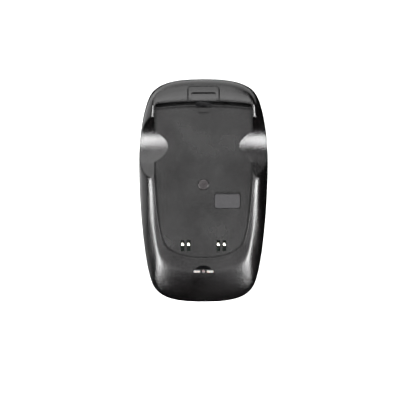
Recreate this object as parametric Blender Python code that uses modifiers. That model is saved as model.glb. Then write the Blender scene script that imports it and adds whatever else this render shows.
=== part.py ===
"""Desktop charging cradle for a handheld radio.

The cradle lies on its four rubber feet.  +Z points out of the pocket, +Y towards the latch
and +X to the right.  Z = 0 is the table top and the origin is under the middle of the body.
"""

import math

import bmesh
import bpy
from mathutils import Matrix, Vector

MM = 0.001
FIT_GAP = 0.30 * MM             # clearance between two pieces that sit together
WELD = 0.5 * MM                 # how far united pieces run into each other
PAST = 1.0 * MM                 # how far a cutter runs out of what it cuts

# Overall body
BODY_LENGTH = 122.0 * MM
BODY_WIDTH = 70.6 * MM
WIDEST_Y = 15.5 * MM            # where the sides are furthest apart
TOP_CORNER_IN = 6.7 * MM        # latch-end corner, in from the side and from the end
TOP_CORNER_DOWN = 7.9 * MM
TOE_CORNER_IN = 6.9 * MM        # the same for the lower end, the toe
TOE_CORNER_UP = 10.9 * MM
WALL = 2.0 * MM
FOOT_DROP = 1.2 * MM            # how far the feet stand out of the underside
PARTING_Z = 10.0 * MM           # seam between base and top housing

# Pocket
POCKET_HALF_WIDTH = 26.8 * MM
POCKET_BEND_Y = 12.0 * MM       # below this the pocket's sides draw in
POCKET_CORNER_RADIUS = 2.5 * MM
POCKET_ARCH = 1.4 * MM          # rise of the arched upper wall
POCKET_TOE_IN = 4.6 * MM        # lower pocket corner, in from the side
POCKET_TOE_UP = 9.3 * MM
RIM_DEPTH = 12.7 * MM           # latch end of the body to the pocket wall
TOE_DEPTH = 24.1 * MM           # lower end of the body to the pocket seam
PLATE_TOP = 15.5 * MM
PLATE_THICKNESS = 2.0 * MM
DECK_THICKNESS = 2.0 * MM       # pocket floor that the plate lies on
SEAM = 0.35 * MM                # line round the pocket plate
EDGE = 0.5 * MM                 # break on the housing's inner edge
RAIL_RISE = 5.0 * MM            # rail top above the plate beside the scoops
RIM_RISE = 6.0 * MM             # rim top above the plate
RAIL_FALL_END_UP = 5.0 * MM     # rails are level with the plate this far above the toe seam

# Directions of the outlines at their corners, from +X
TOP_CORNER_ANGLE = math.radians(-55)
TOE_CORNER_ANGLE = math.radians(-110.5)
POCKET_TOE_ANGLE = math.radians(-112)
DOWN = math.radians(-90)
INWARD = math.radians(-180)

# Finger scoops: two cylinders whose axes lean down outwards
SCOOP_RADIUS = 22.5 * MM
SCOOP_LEAN = math.radians(12.7)
SCOOP_REACH = 7.4 * MM          # how far the scoop's tip comes in over the pocket plate
SCOOP_DOWN = 24.5 * MM          # scoop axis below the pocket's upper wall
SCOOP_LIP = 0.25 * MM           # land left round the scoop at plate level

# Ledge and trough along the upper pocket wall
TROUGH_WIDTH = 1.5 * MM
LEDGE_WIDTH = 0.7 * MM
LEDGE_DROP = 0.3 * MM

# Latch
BUTTON_WIDTH = 16.3 * MM
BUTTON_LENGTH = 7.6 * MM
BUTTON_CORNER = 1.4 * MM
BUTTON_SKIN = 1.8 * MM
BUTTON_TRAVEL = 1.2 * MM
PAD_WIDTH = 13.4 * MM
PAD_LENGTH = 4.6 * MM
PAD_CORNER = 1.0 * MM
PAD_DEPTH = 0.6 * MM
BUTTON_OVERTRAVEL = 0.5 * MM    # room left below the pressed button
LATCH_TRAVEL = 1.8 * MM
LEG_WIDTH = 1.6 * MM            # the button's two legs, whose ramps push the bolt back
LEG_TIP = 0.6 * MM
LEG_INSET = 1.3 * MM            # leg's middle line out from the nose opening
EAR_SIZE = (1.0 * MM, 1.6 * MM, 1.1 * MM)   # ears that stop the button at the top
EAR_DROP = 0.6 * MM
NOSE_WIDTH = 8.8 * MM
NOSE_REACH = 2.8 * MM           # nose beyond the pocket wall
NOSE_THICKNESS = 1.2 * MM
BOLT_DOWN = 4.9 * MM            # underside of the bolt below the plate
BOLT_THICKNESS = 2.1 * MM
BOLT_REACH = 4.8 * MM           # bolt behind its web
WEB_THICKNESS = 1.2 * MM
RAMP_GAP = 0.45 * MM
CROSSBAR_WIDTH = 18.0 * MM
LATCH_WIRE = 0.16 * MM
LATCH_COIL_RADIUS = 0.9 * MM
LATCH_COIL_TURNS = 6
RETAINER_THICKNESS = 1.0 * MM
RETAINER_LENGTH = 5.6 * MM
RETAINER_CORNER = 1.5 * MM
RETAINER_SCREW_X = 12.4 * MM
RETAINER_SCREW_RADIUS = 0.8 * MM
RETAINER_SCREW_DEPTH = 3.2 * MM
RETAINER_HEAD = (1.7 * MM, 1.2 * MM)    # radius and height
LATCH_BOSS_RADIUS = 2.0 * MM
LATCH_BOSS_DROP = 3.3 * MM      # bosses end this far below the rim

# Pocket plate features
CAP_DOWN = 45.1 * MM            # screw cap below the pocket's upper wall
CAP_DIAMETER = 5.7 * MM
COVER_SIZE = (14.0 * MM, 7.7 * MM)
COVER_X = 13.0 * MM
COVER_DOWN = 54.1 * MM          # service cover below the pocket's upper wall
COVER_CORNER = 1.4 * MM
COVER_SUNK = 0.5 * MM
COVER_THICKNESS = 1.4 * MM
LUG_SIZE = (5.0 * MM, 2.0 * MM, 0.8 * MM)
LUG_DOWN = 4.6 * MM
PLATE_SCREW_RADIUS = 1.2 * MM
PLATE_HEAD_RADIUS = 2.6 * MM
PLATE_HEAD_HEIGHT = 1.5 * MM
PLATE_HEAD_SUNK = 1.4 * MM      # crown of the plate screw below the plate
PLATE_BOSS_RADIUS = 4.5 * MM
PLATE_BOSS_DEPTH = 4.9 * MM
PLATE_POST_RADIUS = 3.2 * MM
CONTACT_X = (-11.4 * MM, -8.1 * MM, 8.1 * MM, 11.4 * MM)
CONTACT_UP = 6.8 * MM           # contact slots above the toe seam
CONTACT_SLOT = (2.0 * MM, 5.7 * MM)
CONTACT_WIDTH = 1.4 * MM
CONTACT_STRIP = 0.25 * MM
CONTACT_STANDS = 0.75 * MM      # dome above the plate
CONTACT_DOME_RADIUS = 1.3 * MM
CONTACT_CARRY_DOWN = 5.3 * MM   # the springs are held this far below the plate
CONTACT_PIVOT_UP = 6.0 * MM     # bend line of the springs above the slots' middle
CONTACT_BLOCK_SIDE = 2.0 * MM   # carrier beyond the springs' middle lines
CONTACT_BLOCK_LENGTH = 4.6 * MM
CONTACT_BLOCK_UP = 3.9 * MM
CONTACT_TUNNEL = 0.6 * MM       # half the height of the tunnel that holds a spring

# Indicator on the toe
LAMP_DOWN = 7.3 * MM            # lamps below the toe seam
LAMP_BAR = (3.6 * MM, 1.2 * MM)
LAMP_BAR_X = 3.6 * MM
LAMP_BAR_CORNER = 0.35 * MM
LAMP_DIAMETER = 1.8 * MM
WINDOW_HALF_CHORD = 4.3 * MM
WINDOW_RISE = 1.8 * MM
WINDOW_ABOVE_LAMPS = 1.4 * MM
WINDOW_THICKNESS = 1.2 * MM
INDICATOR_SUNK = 0.45 * MM      # window and lamps below the plate
INDICATOR_GAP = 0.2 * MM
LED_HEIGHT = 1.3 * MM

# Circuit board
BOARD_BOTTOM = 7.0 * MM
BOARD_THICKNESS = 1.6 * MM
BOARD_HALF_WIDTH = 16.5 * MM
SOLDER_GAP = 0.3 * MM

# Base
FLOOR = 2.0 * MM
TUCK_IN = 2.5 * MM              # underside is smaller than the body by this
TUCK_UP = 4.0 * MM
LIP_HEIGHT = 1.0 * MM
LIP_THICKNESS = 0.8 * MM
SCREW_RADIUS = 1.0 * MM
SCREW_HEAD_RADIUS = 2.2 * MM
SCREW_HEAD_HEIGHT = 1.6 * MM
BOSS_RADIUS = 2.9 * MM
FOOT_RADIUS = 4.7 * MM
FOOT_RECESS = 0.8 * MM
HEAD_SEAT_Z = 5.4 * MM          # seat of the housing screws' heads
LABEL_SIZE = (34.0 * MM, 22.0 * MM)
LABEL_CORNER = 1.5 * MM
LABEL_Y = -8.0 * MM
LABEL_THICKNESS = 0.3 * MM

# Power inlet in the rear wall
INLET_RADIUS = 2.4 * MM
INLET_BORE = 1.9 * MM
INLET_PIN = 0.6 * MM
INLET_Z = 6.3 * MM
INLET_BORE_DEPTH = 6.5 * MM
INLET_BODY = (7.6 * MM, 10.4 * MM, 4.9 * MM)

# Places that follow from the sizes above
HALF_LENGTH = BODY_LENGTH / 2
HALF_WIDTH = BODY_WIDTH / 2
POCKET_TOP_Y = HALF_LENGTH - RIM_DEPTH
POCKET_TOE_Y = TOE_DEPTH - HALF_LENGTH
PLATE_BOTTOM = PLATE_TOP - PLATE_THICKNESS
DECK_TOP = PLATE_BOTTOM - FIT_GAP
DECK_BOTTOM = DECK_TOP - DECK_THICKNESS
RAIL_Z = PLATE_TOP + RAIL_RISE
RIM_Z = PLATE_TOP + RIM_RISE
REBATE_Z = PARTING_Z + LIP_HEIGHT + FIT_GAP
SCOOP_Y = POCKET_TOP_Y - SCOOP_DOWN
SCOOP_TIP_X = POCKET_HALF_WIDTH - SCOOP_REACH
CAP_Y = POCKET_TOP_Y - CAP_DOWN
COVER_Y = POCKET_TOP_Y - COVER_DOWN
CONTACT_Y = POCKET_TOE_Y + CONTACT_UP
LAMP_Y = POCKET_TOE_Y - LAMP_DOWN
BOARD_TOP = BOARD_BOTTOM + BOARD_THICKNESS
FLOOR_TOP = FOOT_DROP + FLOOR
CAVITY_REAR_Y = HALF_LENGTH - WALL
BUTTON_FRONT_Y = POCKET_TOP_Y + FIT_GAP
BUTTON_REAR_Y = BUTTON_FRONT_Y + BUTTON_LENGTH
WALL_BACK_Y = POCKET_TOP_Y + WALL
NOSE_LOW = PLATE_TOP + FIT_GAP
NOSE_HIGH = NOSE_LOW + NOSE_THICKNESS
BOLT_LOW = PLATE_TOP - BOLT_DOWN
BOLT_TOP = BOLT_LOW + BOLT_THICKNESS
WEB_FRONT_Y = WALL_BACK_Y + FIT_GAP
WEB_BACK_Y = WEB_FRONT_Y + WEB_THICKNESS
BOLT_REAR_Y = WEB_BACK_Y + BOLT_REACH
LEG_X = NOSE_WIDTH / 2 + FIT_GAP + LEG_INSET
LEG_BACK_Y = WEB_BACK_Y + WELD
LEG_TIP_Z = BOLT_LOW + BUTTON_TRAVEL
RAMP_SLOPE = LATCH_TRAVEL / BUTTON_TRAVEL
SPRING_FRONT_Y = WEB_BACK_Y + 1.2 * MM
SPRING_REAR_Y = CAVITY_REAR_Y - 0.6 * MM
SPRING_Z = BOLT_TOP - 0.2 * MM
PLATE_HEAD_Z = (PLATE_TOP - PLATE_HEAD_SUNK - PLATE_HEAD_HEIGHT, PLATE_TOP - PLATE_HEAD_SUNK)
PLATE_BOSS_BOTTOM = PLATE_TOP - PLATE_BOSS_DEPTH
PLATE_POST_TOP = PLATE_BOSS_BOTTOM - FIT_GAP - 0.1 * MM
CONTACT_CARRY_Z = PLATE_TOP - CONTACT_CARRY_DOWN
CONTACT_BLOCK_IN = CONTACT_X[2] - CONTACT_BLOCK_SIDE
CONTACT_BLOCK_OUT = CONTACT_X[3] + CONTACT_BLOCK_SIDE
CONTACT_BLOCK_FRONT_Y = CONTACT_Y + CONTACT_BLOCK_UP
CONTACT_BLOCK_REAR_Y = CONTACT_BLOCK_FRONT_Y + CONTACT_BLOCK_LENGTH
INLET_BODY_REAR_Y = HALF_LENGTH - 3.4 * MM
BOARD_TOP_Y = INLET_BODY_REAR_Y - INLET_BODY[1] - FIT_GAP
BOARD_TOE_Y = LAMP_Y - 5.5 * MM
HOUSING_SCREWS = [
    (side * x, y)
    for x, y in ((BOARD_HALF_WIDTH + 6.0 * MM, POCKET_TOP_Y - 14.3 * MM),
                 (BOARD_HALF_WIDTH + 4.0 * MM, POCKET_TOE_Y + 13.0 * MM))
    for side in (-1, 1)
]
FEET = [
    (side * x, y)
    for x, y in ((HALF_WIDTH - 13.3 * MM, HALF_LENGTH - 18.5 * MM),
                 (HALF_WIDTH - 16.8 * MM, 16.5 * MM - HALF_LENGTH))
    for side in (-1, 1)
]
BOARD_SCREWS = [(-12.5 * MM, POCKET_TOP_Y - 19.0 * MM), (12.5 * MM, POCKET_TOE_Y + 21.5 * MM)]
RETAINER_SCREWS = [(side * RETAINER_SCREW_X, WALL_BACK_Y + 3.4 * MM) for side in (-1, 1)]

FINISHES = {
    "textured_black": ("3A393B", 0.5, 0.0),
    "smooth_black": ("1B1B1D", 0.3, 0.0),
    "rubber": ("2A2A2C", 0.8, 0.0),
    "steel": ("B9BBBE", 0.3, 1.0),
    "spring_bronze": ("D8D2C0", 0.25, 1.0),
    "solder_mask": ("1F5A38", 0.4, 0.0),
    "component": ("202124", 0.5, 0.0),
    "clear_lamp": ("E6E4DE", 0.25, 0.0),
    "amber_lamp": ("C98F86", 0.25, 0.0),
    "label": ("8C8E90", 0.4, 0.0),
}


# ---------------------------------------------------------------- helpers


def clear_scene():
    for old in list(bpy.data.objects):
        bpy.data.objects.remove(old, do_unlink=True)


def new_collection(name):
    collection = bpy.data.collections.new(name)
    bpy.context.scene.collection.children.link(collection)
    return collection


clear_scene()
PARTS = new_collection("radio_charging_cradle")
CUTTERS = new_collection("cutters")


def linear(channel):
    """One sRGB channel (0 to 1) as linear light."""
    return channel / 12.92 if channel <= 0.04045 else ((channel + 0.055) / 1.055) ** 2.4


def finish_part(obj, finish):
    """Gives a part its own material."""
    code, roughness, metallic = FINISHES[finish]
    colour = [linear(int(code[i:i + 2], 16) / 255) for i in (0, 2, 4)]
    material = bpy.data.materials.new(obj.name + "_" + finish)
    material.use_nodes = True
    shader = material.node_tree.nodes["Principled BSDF"]
    shader.inputs["Base Color"].default_value = (*colour, 1.0)
    shader.inputs["Roughness"].default_value = roughness
    shader.inputs["Metallic"].default_value = metallic
    obj.data.materials.clear()
    obj.data.materials.append(material)
    return obj


def as_part(obj, finish, smooth_angle=35):
    """Moves an object to the parts, shades it and gives it a finish."""
    for collection in obj.users_collection:
        collection.objects.unlink(obj)
    PARTS.objects.link(obj)
    obj.hide_render = False
    obj.display_type = "TEXTURED"
    obj.data.shade_smooth()
    obj.data.set_sharp_from_angle(angle=math.radians(smooth_angle))
    return finish_part(obj, finish)


def cutter_object(name, data, location=(0, 0, 0)):
    """A new object among the cutters, hidden from renders until it becomes a part."""
    obj = bpy.data.objects.new(name, data)
    obj.location = location
    obj.hide_render = True
    obj.display_type = "WIRE"
    CUTTERS.objects.link(obj)
    return obj


def mesh_from(name, bm):
    bmesh.ops.recalc_face_normals(bm, faces=bm.faces)
    mesh = bpy.data.meshes.new(name)
    bm.to_mesh(mesh)
    bm.free()
    return mesh


def prism(name, outline, low, high):
    """A flat outline in XY, thickened from low to high."""
    curve = bpy.data.curves.new(name, "CURVE")
    curve.dimensions = "2D"
    curve.fill_mode = "BOTH"
    curve.extrude = (high - low) / 2
    spline = curve.splines.new("POLY")
    spline.points.add(len(outline) - 1)
    for point, (x, y) in zip(spline.points, outline):
        point.co = (x, y, 0, 1)
    spline.use_cyclic_u = True
    drawn = cutter_object(name + "_curve", curve)
    bpy.context.view_layer.update()
    depsgraph = bpy.context.evaluated_depsgraph_get()
    mesh = bpy.data.meshes.new_from_object(drawn.evaluated_get(depsgraph))
    bm = bmesh.new()
    bm.from_mesh(mesh)
    bmesh.ops.remove_doubles(bm, verts=bm.verts, dist=0.000001)
    bmesh.ops.translate(bm, verts=bm.verts, vec=(0, 0, (low + high) / 2))
    bpy.data.objects.remove(drawn, do_unlink=True)
    bpy.data.meshes.remove(mesh)
    return cutter_object(name, mesh_from(name, bm))


def side_prism(name, outline, half_width, centre_x=0.0):
    """An outline in (Y, Z), thickened along X."""
    obj = prism(name, outline, -half_width, half_width)
    turn = Matrix(((0, 0, 1), (1, 0, 0), (0, 1, 0))).to_4x4()
    obj.data.transform(Matrix.Translation((centre_x, 0, 0)) @ turn)
    return obj


def block(name, low, high):
    """A box between two corners."""
    bm = bmesh.new()
    bmesh.ops.create_cube(bm, size=1.0)
    size = Vector(high) - Vector(low)
    bmesh.ops.scale(bm, verts=bm.verts, vec=size)
    bmesh.ops.translate(bm, verts=bm.verts, vec=(Vector(low) + Vector(high)) / 2)
    return cutter_object(name, mesh_from(name, bm))


def rod(name, start, end, radius, segments=20):
    """A cylinder from start to end."""
    start = Vector(start)
    end = Vector(end)
    bm = bmesh.new()
    bmesh.ops.create_cone(
        bm, cap_ends=True, segments=segments, radius1=radius, radius2=radius,
        depth=(end - start).length)
    turn = (end - start).to_track_quat("Z", "Y").to_matrix().to_4x4()
    bmesh.ops.transform(bm, matrix=Matrix.Translation((start + end) / 2) @ turn, verts=bm.verts)
    return cutter_object(name, mesh_from(name, bm))


def turned(name, profile, place, steps=24):
    """A profile of (radius, z) turned about Z through place; it runs from top to bottom."""
    mesh = bpy.data.meshes.new(name)
    edges = [(i, i + 1) for i in range(len(profile) - 1)]
    mesh.from_pydata([(radius, 0, z) for radius, z in profile], edges, [])
    obj = cutter_object(name, mesh, place)
    screw = obj.modifiers.new("turn", "SCREW")
    screw.steps = steps
    screw.render_steps = steps
    screw.use_merge_vertices = True
    screw.merge_threshold = 0.000001
    return obj


def combine(obj, operation, *others):
    """Adds one Boolean for each of the other objects."""
    for other in others:
        cut = obj.modifiers.new(operation.lower() + "_" + other.name, "BOOLEAN")
        cut.operation = operation
        cut.object = other
        cut.solver = "EXACT"
    return obj


def round_edges(obj, width, segments=2, angle=40):
    bevel = obj.modifiers.new("round_edges", "BEVEL")
    bevel.width = width
    bevel.segments = segments
    bevel.limit_method = "ANGLE"
    bevel.angle_limit = math.radians(angle)
    return obj


def loft(name, rings):
    """A closed solid through rings of equal length, capped at both ends."""
    bm = bmesh.new()
    loops = [[bm.verts.new(point) for point in ring] for ring in rings]
    count = len(loops[0])
    for lower, upper in zip(loops, loops[1:]):
        for i in range(count):
            j = (i + 1) % count
            bm.faces.new((lower[i], lower[j], upper[j], upper[i]))
    bm.faces.new(loops[0])
    bm.faces.new(loops[-1])
    return cutter_object(name, mesh_from(name, bm))


# ---------------------------------------------------------------- outlines


def spread(start, end, count):
    """count values from start up to, but not including, end."""
    return [start + (end - start) * i / count for i in range(count)]


# A half outline runs from u = 0 at the latch end to u = 4 at the toe, through the latch-end
# corner (1), the side (2) and the toe corner (3).  The pocket's tight corner takes CORNER_SPAN.
CORNER_SPAN = 0.2
STATIONS = (
    spread(0, 1 - CORNER_SPAN, 5)
    + spread(1 - CORNER_SPAN, 1 + CORNER_SPAN, 6)
    + spread(1 + CORNER_SPAN, 2, 6)
    + spread(2, 3, 7)
    + spread(3, 4, 9)
    + [4.0]
)


def bezier(start, start_angle, start_reach, end, end_angle, end_reach, t):
    """A point on the cubic that leaves start and reaches end along the given angles."""
    start = Vector(start)
    end = Vector(end)
    leave = start + start_reach * Vector((math.cos(start_angle), math.sin(start_angle)))
    arrive = end - end_reach * Vector((math.cos(end_angle), math.sin(end_angle)))
    s = 1 - t
    return s ** 3 * start + 3 * s * s * t * leave + 3 * s * t * t * arrive + t ** 3 * end


def body_point(u):
    """The body's outline, right half."""
    top = (0, HALF_LENGTH)
    top_corner = (HALF_WIDTH - TOP_CORNER_IN, HALF_LENGTH - TOP_CORNER_DOWN)
    side = (HALF_WIDTH, WIDEST_Y)
    toe_corner = (HALF_WIDTH - TOE_CORNER_IN, TOE_CORNER_UP - HALF_LENGTH)
    toe = (0, -HALF_LENGTH)
    upper = top_corner[1] - WIDEST_Y
    lower = WIDEST_Y - toe_corner[1]
    if u < 1:
        return bezier(top, 0, 0.51 * top_corner[0],
                      top_corner, TOP_CORNER_ANGLE, 0.27 * top_corner[0], u)
    if u < 2:
        return bezier(top_corner, TOP_CORNER_ANGLE, 0.18 * upper,
                      side, DOWN, 0.41 * upper, u - 1)
    if u < 3:
        return bezier(side, DOWN, 0.29 * lower,
                      toe_corner, TOE_CORNER_ANGLE, 0.205 * lower, u - 2)
    return bezier(toe_corner, TOE_CORNER_ANGLE, 0.36 * toe_corner[0],
                  toe, INWARD, 0.51 * toe_corner[0], u - 3)


def pocket_point(u, top_y=POCKET_TOP_Y):
    """The pocket's outline, right half; top_y is the height of its upper edge."""
    radius = POCKET_CORNER_RADIUS
    corner_y = top_y - POCKET_ARCH - radius
    arch_end_x = POCKET_HALF_WIDTH - radius
    side = (POCKET_HALF_WIDTH, POCKET_BEND_Y)
    toe_corner = (POCKET_HALF_WIDTH - POCKET_TOE_IN, POCKET_TOE_Y + POCKET_TOE_UP)
    lower = POCKET_BEND_Y - toe_corner[1]
    if u < 1 - CORNER_SPAN:
        x = arch_end_x * u / (1 - CORNER_SPAN)
        return Vector((x, top_y - POCKET_ARCH * (x / arch_end_x) ** 2))
    if u < 1 + CORNER_SPAN:
        angle = math.radians(90) * (1 + CORNER_SPAN - u) / (2 * CORNER_SPAN)
        return Vector((arch_end_x + radius * math.cos(angle), corner_y + radius * math.sin(angle)))
    if u < 2:
        share = (u - 1 - CORNER_SPAN) / (1 - CORNER_SPAN)
        return Vector((POCKET_HALF_WIDTH, corner_y + (POCKET_BEND_Y - corner_y) * share))
    if u < 3:
        return bezier(side, DOWN, 0.24 * lower,
                      toe_corner, POCKET_TOE_ANGLE, 0.21 * lower, u - 2)
    return bezier(toe_corner, POCKET_TOE_ANGLE, 0.29 * toe_corner[0],
                  (0, POCKET_TOE_Y), INWARD, 0.54 * toe_corner[0], u - 3)


def whole_outline(point_at):
    """Both halves as one closed ring."""
    right = [point_at(u) for u in STATIONS]
    left = [Vector((-p.x, p.y)) for p in reversed(right[1:-1])]
    return right + left


def moved_in(ring, distance):
    """The ring moved inwards by distance, or outwards where it is negative."""
    count = len(ring)
    moved = []
    for i, point in enumerate(ring):
        along = (ring[(i + 1) % count] - ring[i - 1]).normalized()
        moved.append(point + distance * Vector((along.y, -along.x)))
    return moved


def at_height(ring, z):
    return [Vector((p.x, p.y, z)) for p in ring]


def smooth_step(share):
    share = min(max(share, 0.0), 1.0)
    return share * share * (3 - 2 * share)


def wall_top(y):
    """Height of the pocket wall: rim at the latch end, rails, then level with the plate."""
    scoop_half = SCOOP_RADIUS * 0.72
    fall_start = SCOOP_Y - scoop_half
    fall_end = POCKET_TOE_Y + RAIL_FALL_END_UP
    if y < fall_start:
        return PLATE_TOP + RAIL_RISE * smooth_step((y - fall_end) / (fall_start - fall_end))
    rise = (y - SCOOP_Y - scoop_half) / (POCKET_TOP_Y - SCOOP_Y - scoop_half)
    return RAIL_Z + (RIM_Z - RAIL_Z) * smooth_step(rise)


BODY_RING = whole_outline(body_point)
POCKET_RING = whole_outline(pocket_point)
CROWN_STEPS = 8


def crown_rings(outer, inner, heights, base_z):
    """Rings that rise from outer at base_z over a quarter ellipse to inner at its heights."""
    rings = []
    for step in range(CROWN_STEPS + 1):
        angle = math.radians(90) * step / CROWN_STEPS
        rings.append([
            Vector((*(q + (p - q) * math.cos(angle)), base_z + (top - base_z) * math.sin(angle)))
            for p, q, top in zip(outer, inner, heights)
        ])
    return rings


def body_solid(name, drop=0.0, shift_y=0.0):
    """The top housing's outside as a full solid with the pocket sunk into it."""
    heights = [wall_top(q.y) for q in POCKET_RING]
    rings = crown_rings(BODY_RING, moved_in(POCKET_RING, -EDGE), heights, PARTING_Z)
    rings.append([Vector((q.x, q.y, top - EDGE)) for q, top in zip(POCKET_RING, heights)])
    rings.append(at_height(POCKET_RING, DECK_TOP))
    solid = loft(name, rings)
    solid.data.transform(Matrix.Translation((0, shift_y, -drop)))
    return solid


def rim_surface(y):
    """Height of the rim's crown on the middle line."""
    share = (y - POCKET_TOP_Y - EDGE) / (RIM_DEPTH - EDGE)
    return PARTING_Z + (RIM_Z - PARTING_Z) * math.sqrt(1 - share ** 2)


def scoop_rod(name, side, radius):
    """The finger that presses a scoop into one side, as a cylinder leaning down outwards."""
    axis = Vector((side * math.cos(SCOOP_LEAN), 0, -math.sin(SCOOP_LEAN)))
    above_tip = SCOOP_RADIUS / math.cos(SCOOP_LEAN)
    on_axis = Vector((side * SCOOP_TIP_X, SCOOP_Y, PLATE_TOP + above_tip))
    return rod(name, on_axis - 12 * MM * axis, on_axis + 30 * MM * axis, radius, segments=72)


def scoop_half_chord(x):
    """Half the scoop's length along Y where it crosses plate level at x from the middle."""
    depth = max(x - SCOOP_TIP_X, 0.0) * math.sin(SCOOP_LEAN)
    return math.sqrt(SCOOP_RADIUS ** 2 - (SCOOP_RADIUS - depth) ** 2)


def scoop_outline(side, extra):
    """The scoop's mouth at plate level, extra larger all round, out to the pocket wall."""
    past_wall = POCKET_HALF_WIDTH + WALL / 2
    steps = 9
    xs = [SCOOP_TIP_X + (past_wall - SCOOP_TIP_X) * (i / steps) ** 2 for i in range(steps + 1)]
    half = [(x, scoop_half_chord(x)) for x in xs]
    curve = [Vector((x, -y)) for x, y in reversed(half)] + [Vector(p) for p in half[1:]]
    moved = []
    for i, point in enumerate(curve):
        along = (curve[min(i + 1, len(curve) - 1)] - curve[max(i - 1, 0)]).normalized()
        moved.append(point + extra * Vector((-abs(along.y), along.x)))
    return [(side * p.x, SCOOP_Y + p.y) for p in moved]


def rounded_box(size_x, size_y, radius, centre, steps=5):
    """A rounded rectangle about centre, anticlockwise."""
    points = []
    for turn, (sx, sy) in enumerate(((1, 1), (-1, 1), (-1, -1), (1, -1))):
        corner = (centre[0] + sx * (size_x / 2 - radius), centre[1] + sy * (size_y / 2 - radius))
        for i in range(steps + 1):
            angle = math.radians(90) * (turn + i / steps)
            points.append((corner[0] + radius * math.cos(angle),
                           corner[1] + radius * math.sin(angle)))
    return points


# ---------------------------------------------------------------- housing


def cavity_core():
    """Everything inside the top housing, leaving the walls, the deck and the scoop shells."""
    inner = moved_in(BODY_RING, WALL)
    pocket_back = moved_in(POCKET_RING, -WALL)
    rebate = moved_in(BODY_RING, WALL - LIP_THICKNESS - FIT_GAP)
    heights = [wall_top(q.y) - WALL for q in POCKET_RING]
    rings = [at_height(rebate, PARTING_Z - WALL), at_height(rebate, REBATE_Z)]
    rings += crown_rings(inner, pocket_back, heights, REBATE_Z)
    rings.append(at_height(pocket_back, DECK_BOTTOM))
    core = loft("cavity_core", rings)
    for side, label in ((-1, "left"), (1, "right")):
        combine(core, "DIFFERENCE", scoop_rod("scoop_shell_" + label, side, SCOOP_RADIUS + WALL))
    return core


def button_outline(extra, front_extra=0.0):
    """The release button's outline, with rounded corners at its rear."""
    half = BUTTON_WIDTH / 2 + extra
    rear = BUTTON_REAR_Y + extra
    radius = BUTTON_CORNER + extra
    front = BUTTON_FRONT_Y - front_extra
    points = [(-half, front), (half, front)]
    for turn, sx in enumerate((1, -1)):
        for i in range(6):
            angle = math.radians(90) * (turn + i / 5)
            points.append((sx * (half - radius) + radius * math.cos(angle),
                           rear - radius + radius * math.sin(angle)))
    return points


def window_outline(extra):
    """The status window: a low circular segment above the lamps."""
    base_y = LAMP_Y + WINDOW_ABOVE_LAMPS
    half = WINDOW_HALF_CHORD + extra
    rise = WINDOW_RISE + 2 * extra
    radius = (half ** 2 + rise ** 2) / (2 * rise)
    reach = math.asin(half / radius)
    points = []
    for i in range(13):
        angle = math.radians(90) - reach + 2 * reach * i / 12
        points.append((radius * math.cos(angle),
                       base_y - extra + rise - radius + radius * math.sin(angle)))
    return points


def lamp_outline(side, extra):
    width, height = (size + 2 * extra for size in LAMP_BAR)
    return rounded_box(width, height, LAMP_BAR_CORNER + extra, (side * LAMP_BAR_X, LAMP_Y), steps=3)


def ledge_outline():
    """The thin ledge that runs along the upper pocket wall, in front of a trough."""
    half = POCKET_HALF_WIDTH - POCKET_CORNER_RADIUS
    far = [pocket_point(u * (1 - CORNER_SPAN) / 10) for u in range(11)]
    rear = [(p.x, p.y - TROUGH_WIDTH) for p in far]
    front = [(p.x, p.y - TROUGH_WIDTH - LEDGE_WIDTH) for p in far]
    rear_line = [(-x, y) for x, y in reversed(rear[1:])] + rear
    front_line = [(x, y) for x, y in reversed(front)] + [(-x, y) for x, y in front[1:]]
    wall_end = half + POCKET_CORNER_RADIUS + WALL / 2
    edge_y = rear[-1][1]
    ends_right = [(wall_end, edge_y), (wall_end, edge_y - LEDGE_WIDTH)]
    ends_left = [(-wall_end, edge_y - LEDGE_WIDTH), (-wall_end, edge_y)]
    return rear_line + ends_right + front_line + ends_left


def top_housing():
    housing = body_solid("top_housing")
    for side, label in ((-1, "left"), (1, "right")):
        apron = prism("apron_" + label, scoop_outline(side, SCOOP_LIP), DECK_TOP - WELD, PLATE_TOP)
        combine(housing, "UNION", apron)
    for side, label in ((-1, "left"), (1, "right")):
        combine(housing, "DIFFERENCE", scoop_rod("scoop_" + label, side, SCOOP_RADIUS))
    combine(housing, "DIFFERENCE", cavity_core())
    ledge = prism("ledge", ledge_outline(), DECK_TOP - WELD, PLATE_TOP - LEDGE_DROP)
    combine(housing, "UNION", ledge)
    for i, (x, y) in enumerate(HOUSING_SCREWS):
        low = PARTING_Z + FIT_GAP
        boss = rod(f"top_boss_{i}", (x, y, low), (x, y, DECK_BOTTOM + WELD), BOSS_RADIUS)
        pilot = rod(f"pilot_{i}", (x, y, low - PAST), (x, y, DECK_TOP - DECK_THICKNESS / 2),
                    SCREW_RADIUS + FIT_GAP)
        combine(housing, "UNION", boss)
        combine(housing, "DIFFERENCE", pilot)
    cut_latch_openings(housing)
    cut_deck_openings(housing)
    cut_indicator(housing)
    return as_part(housing, "textured_black", 30)


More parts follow.
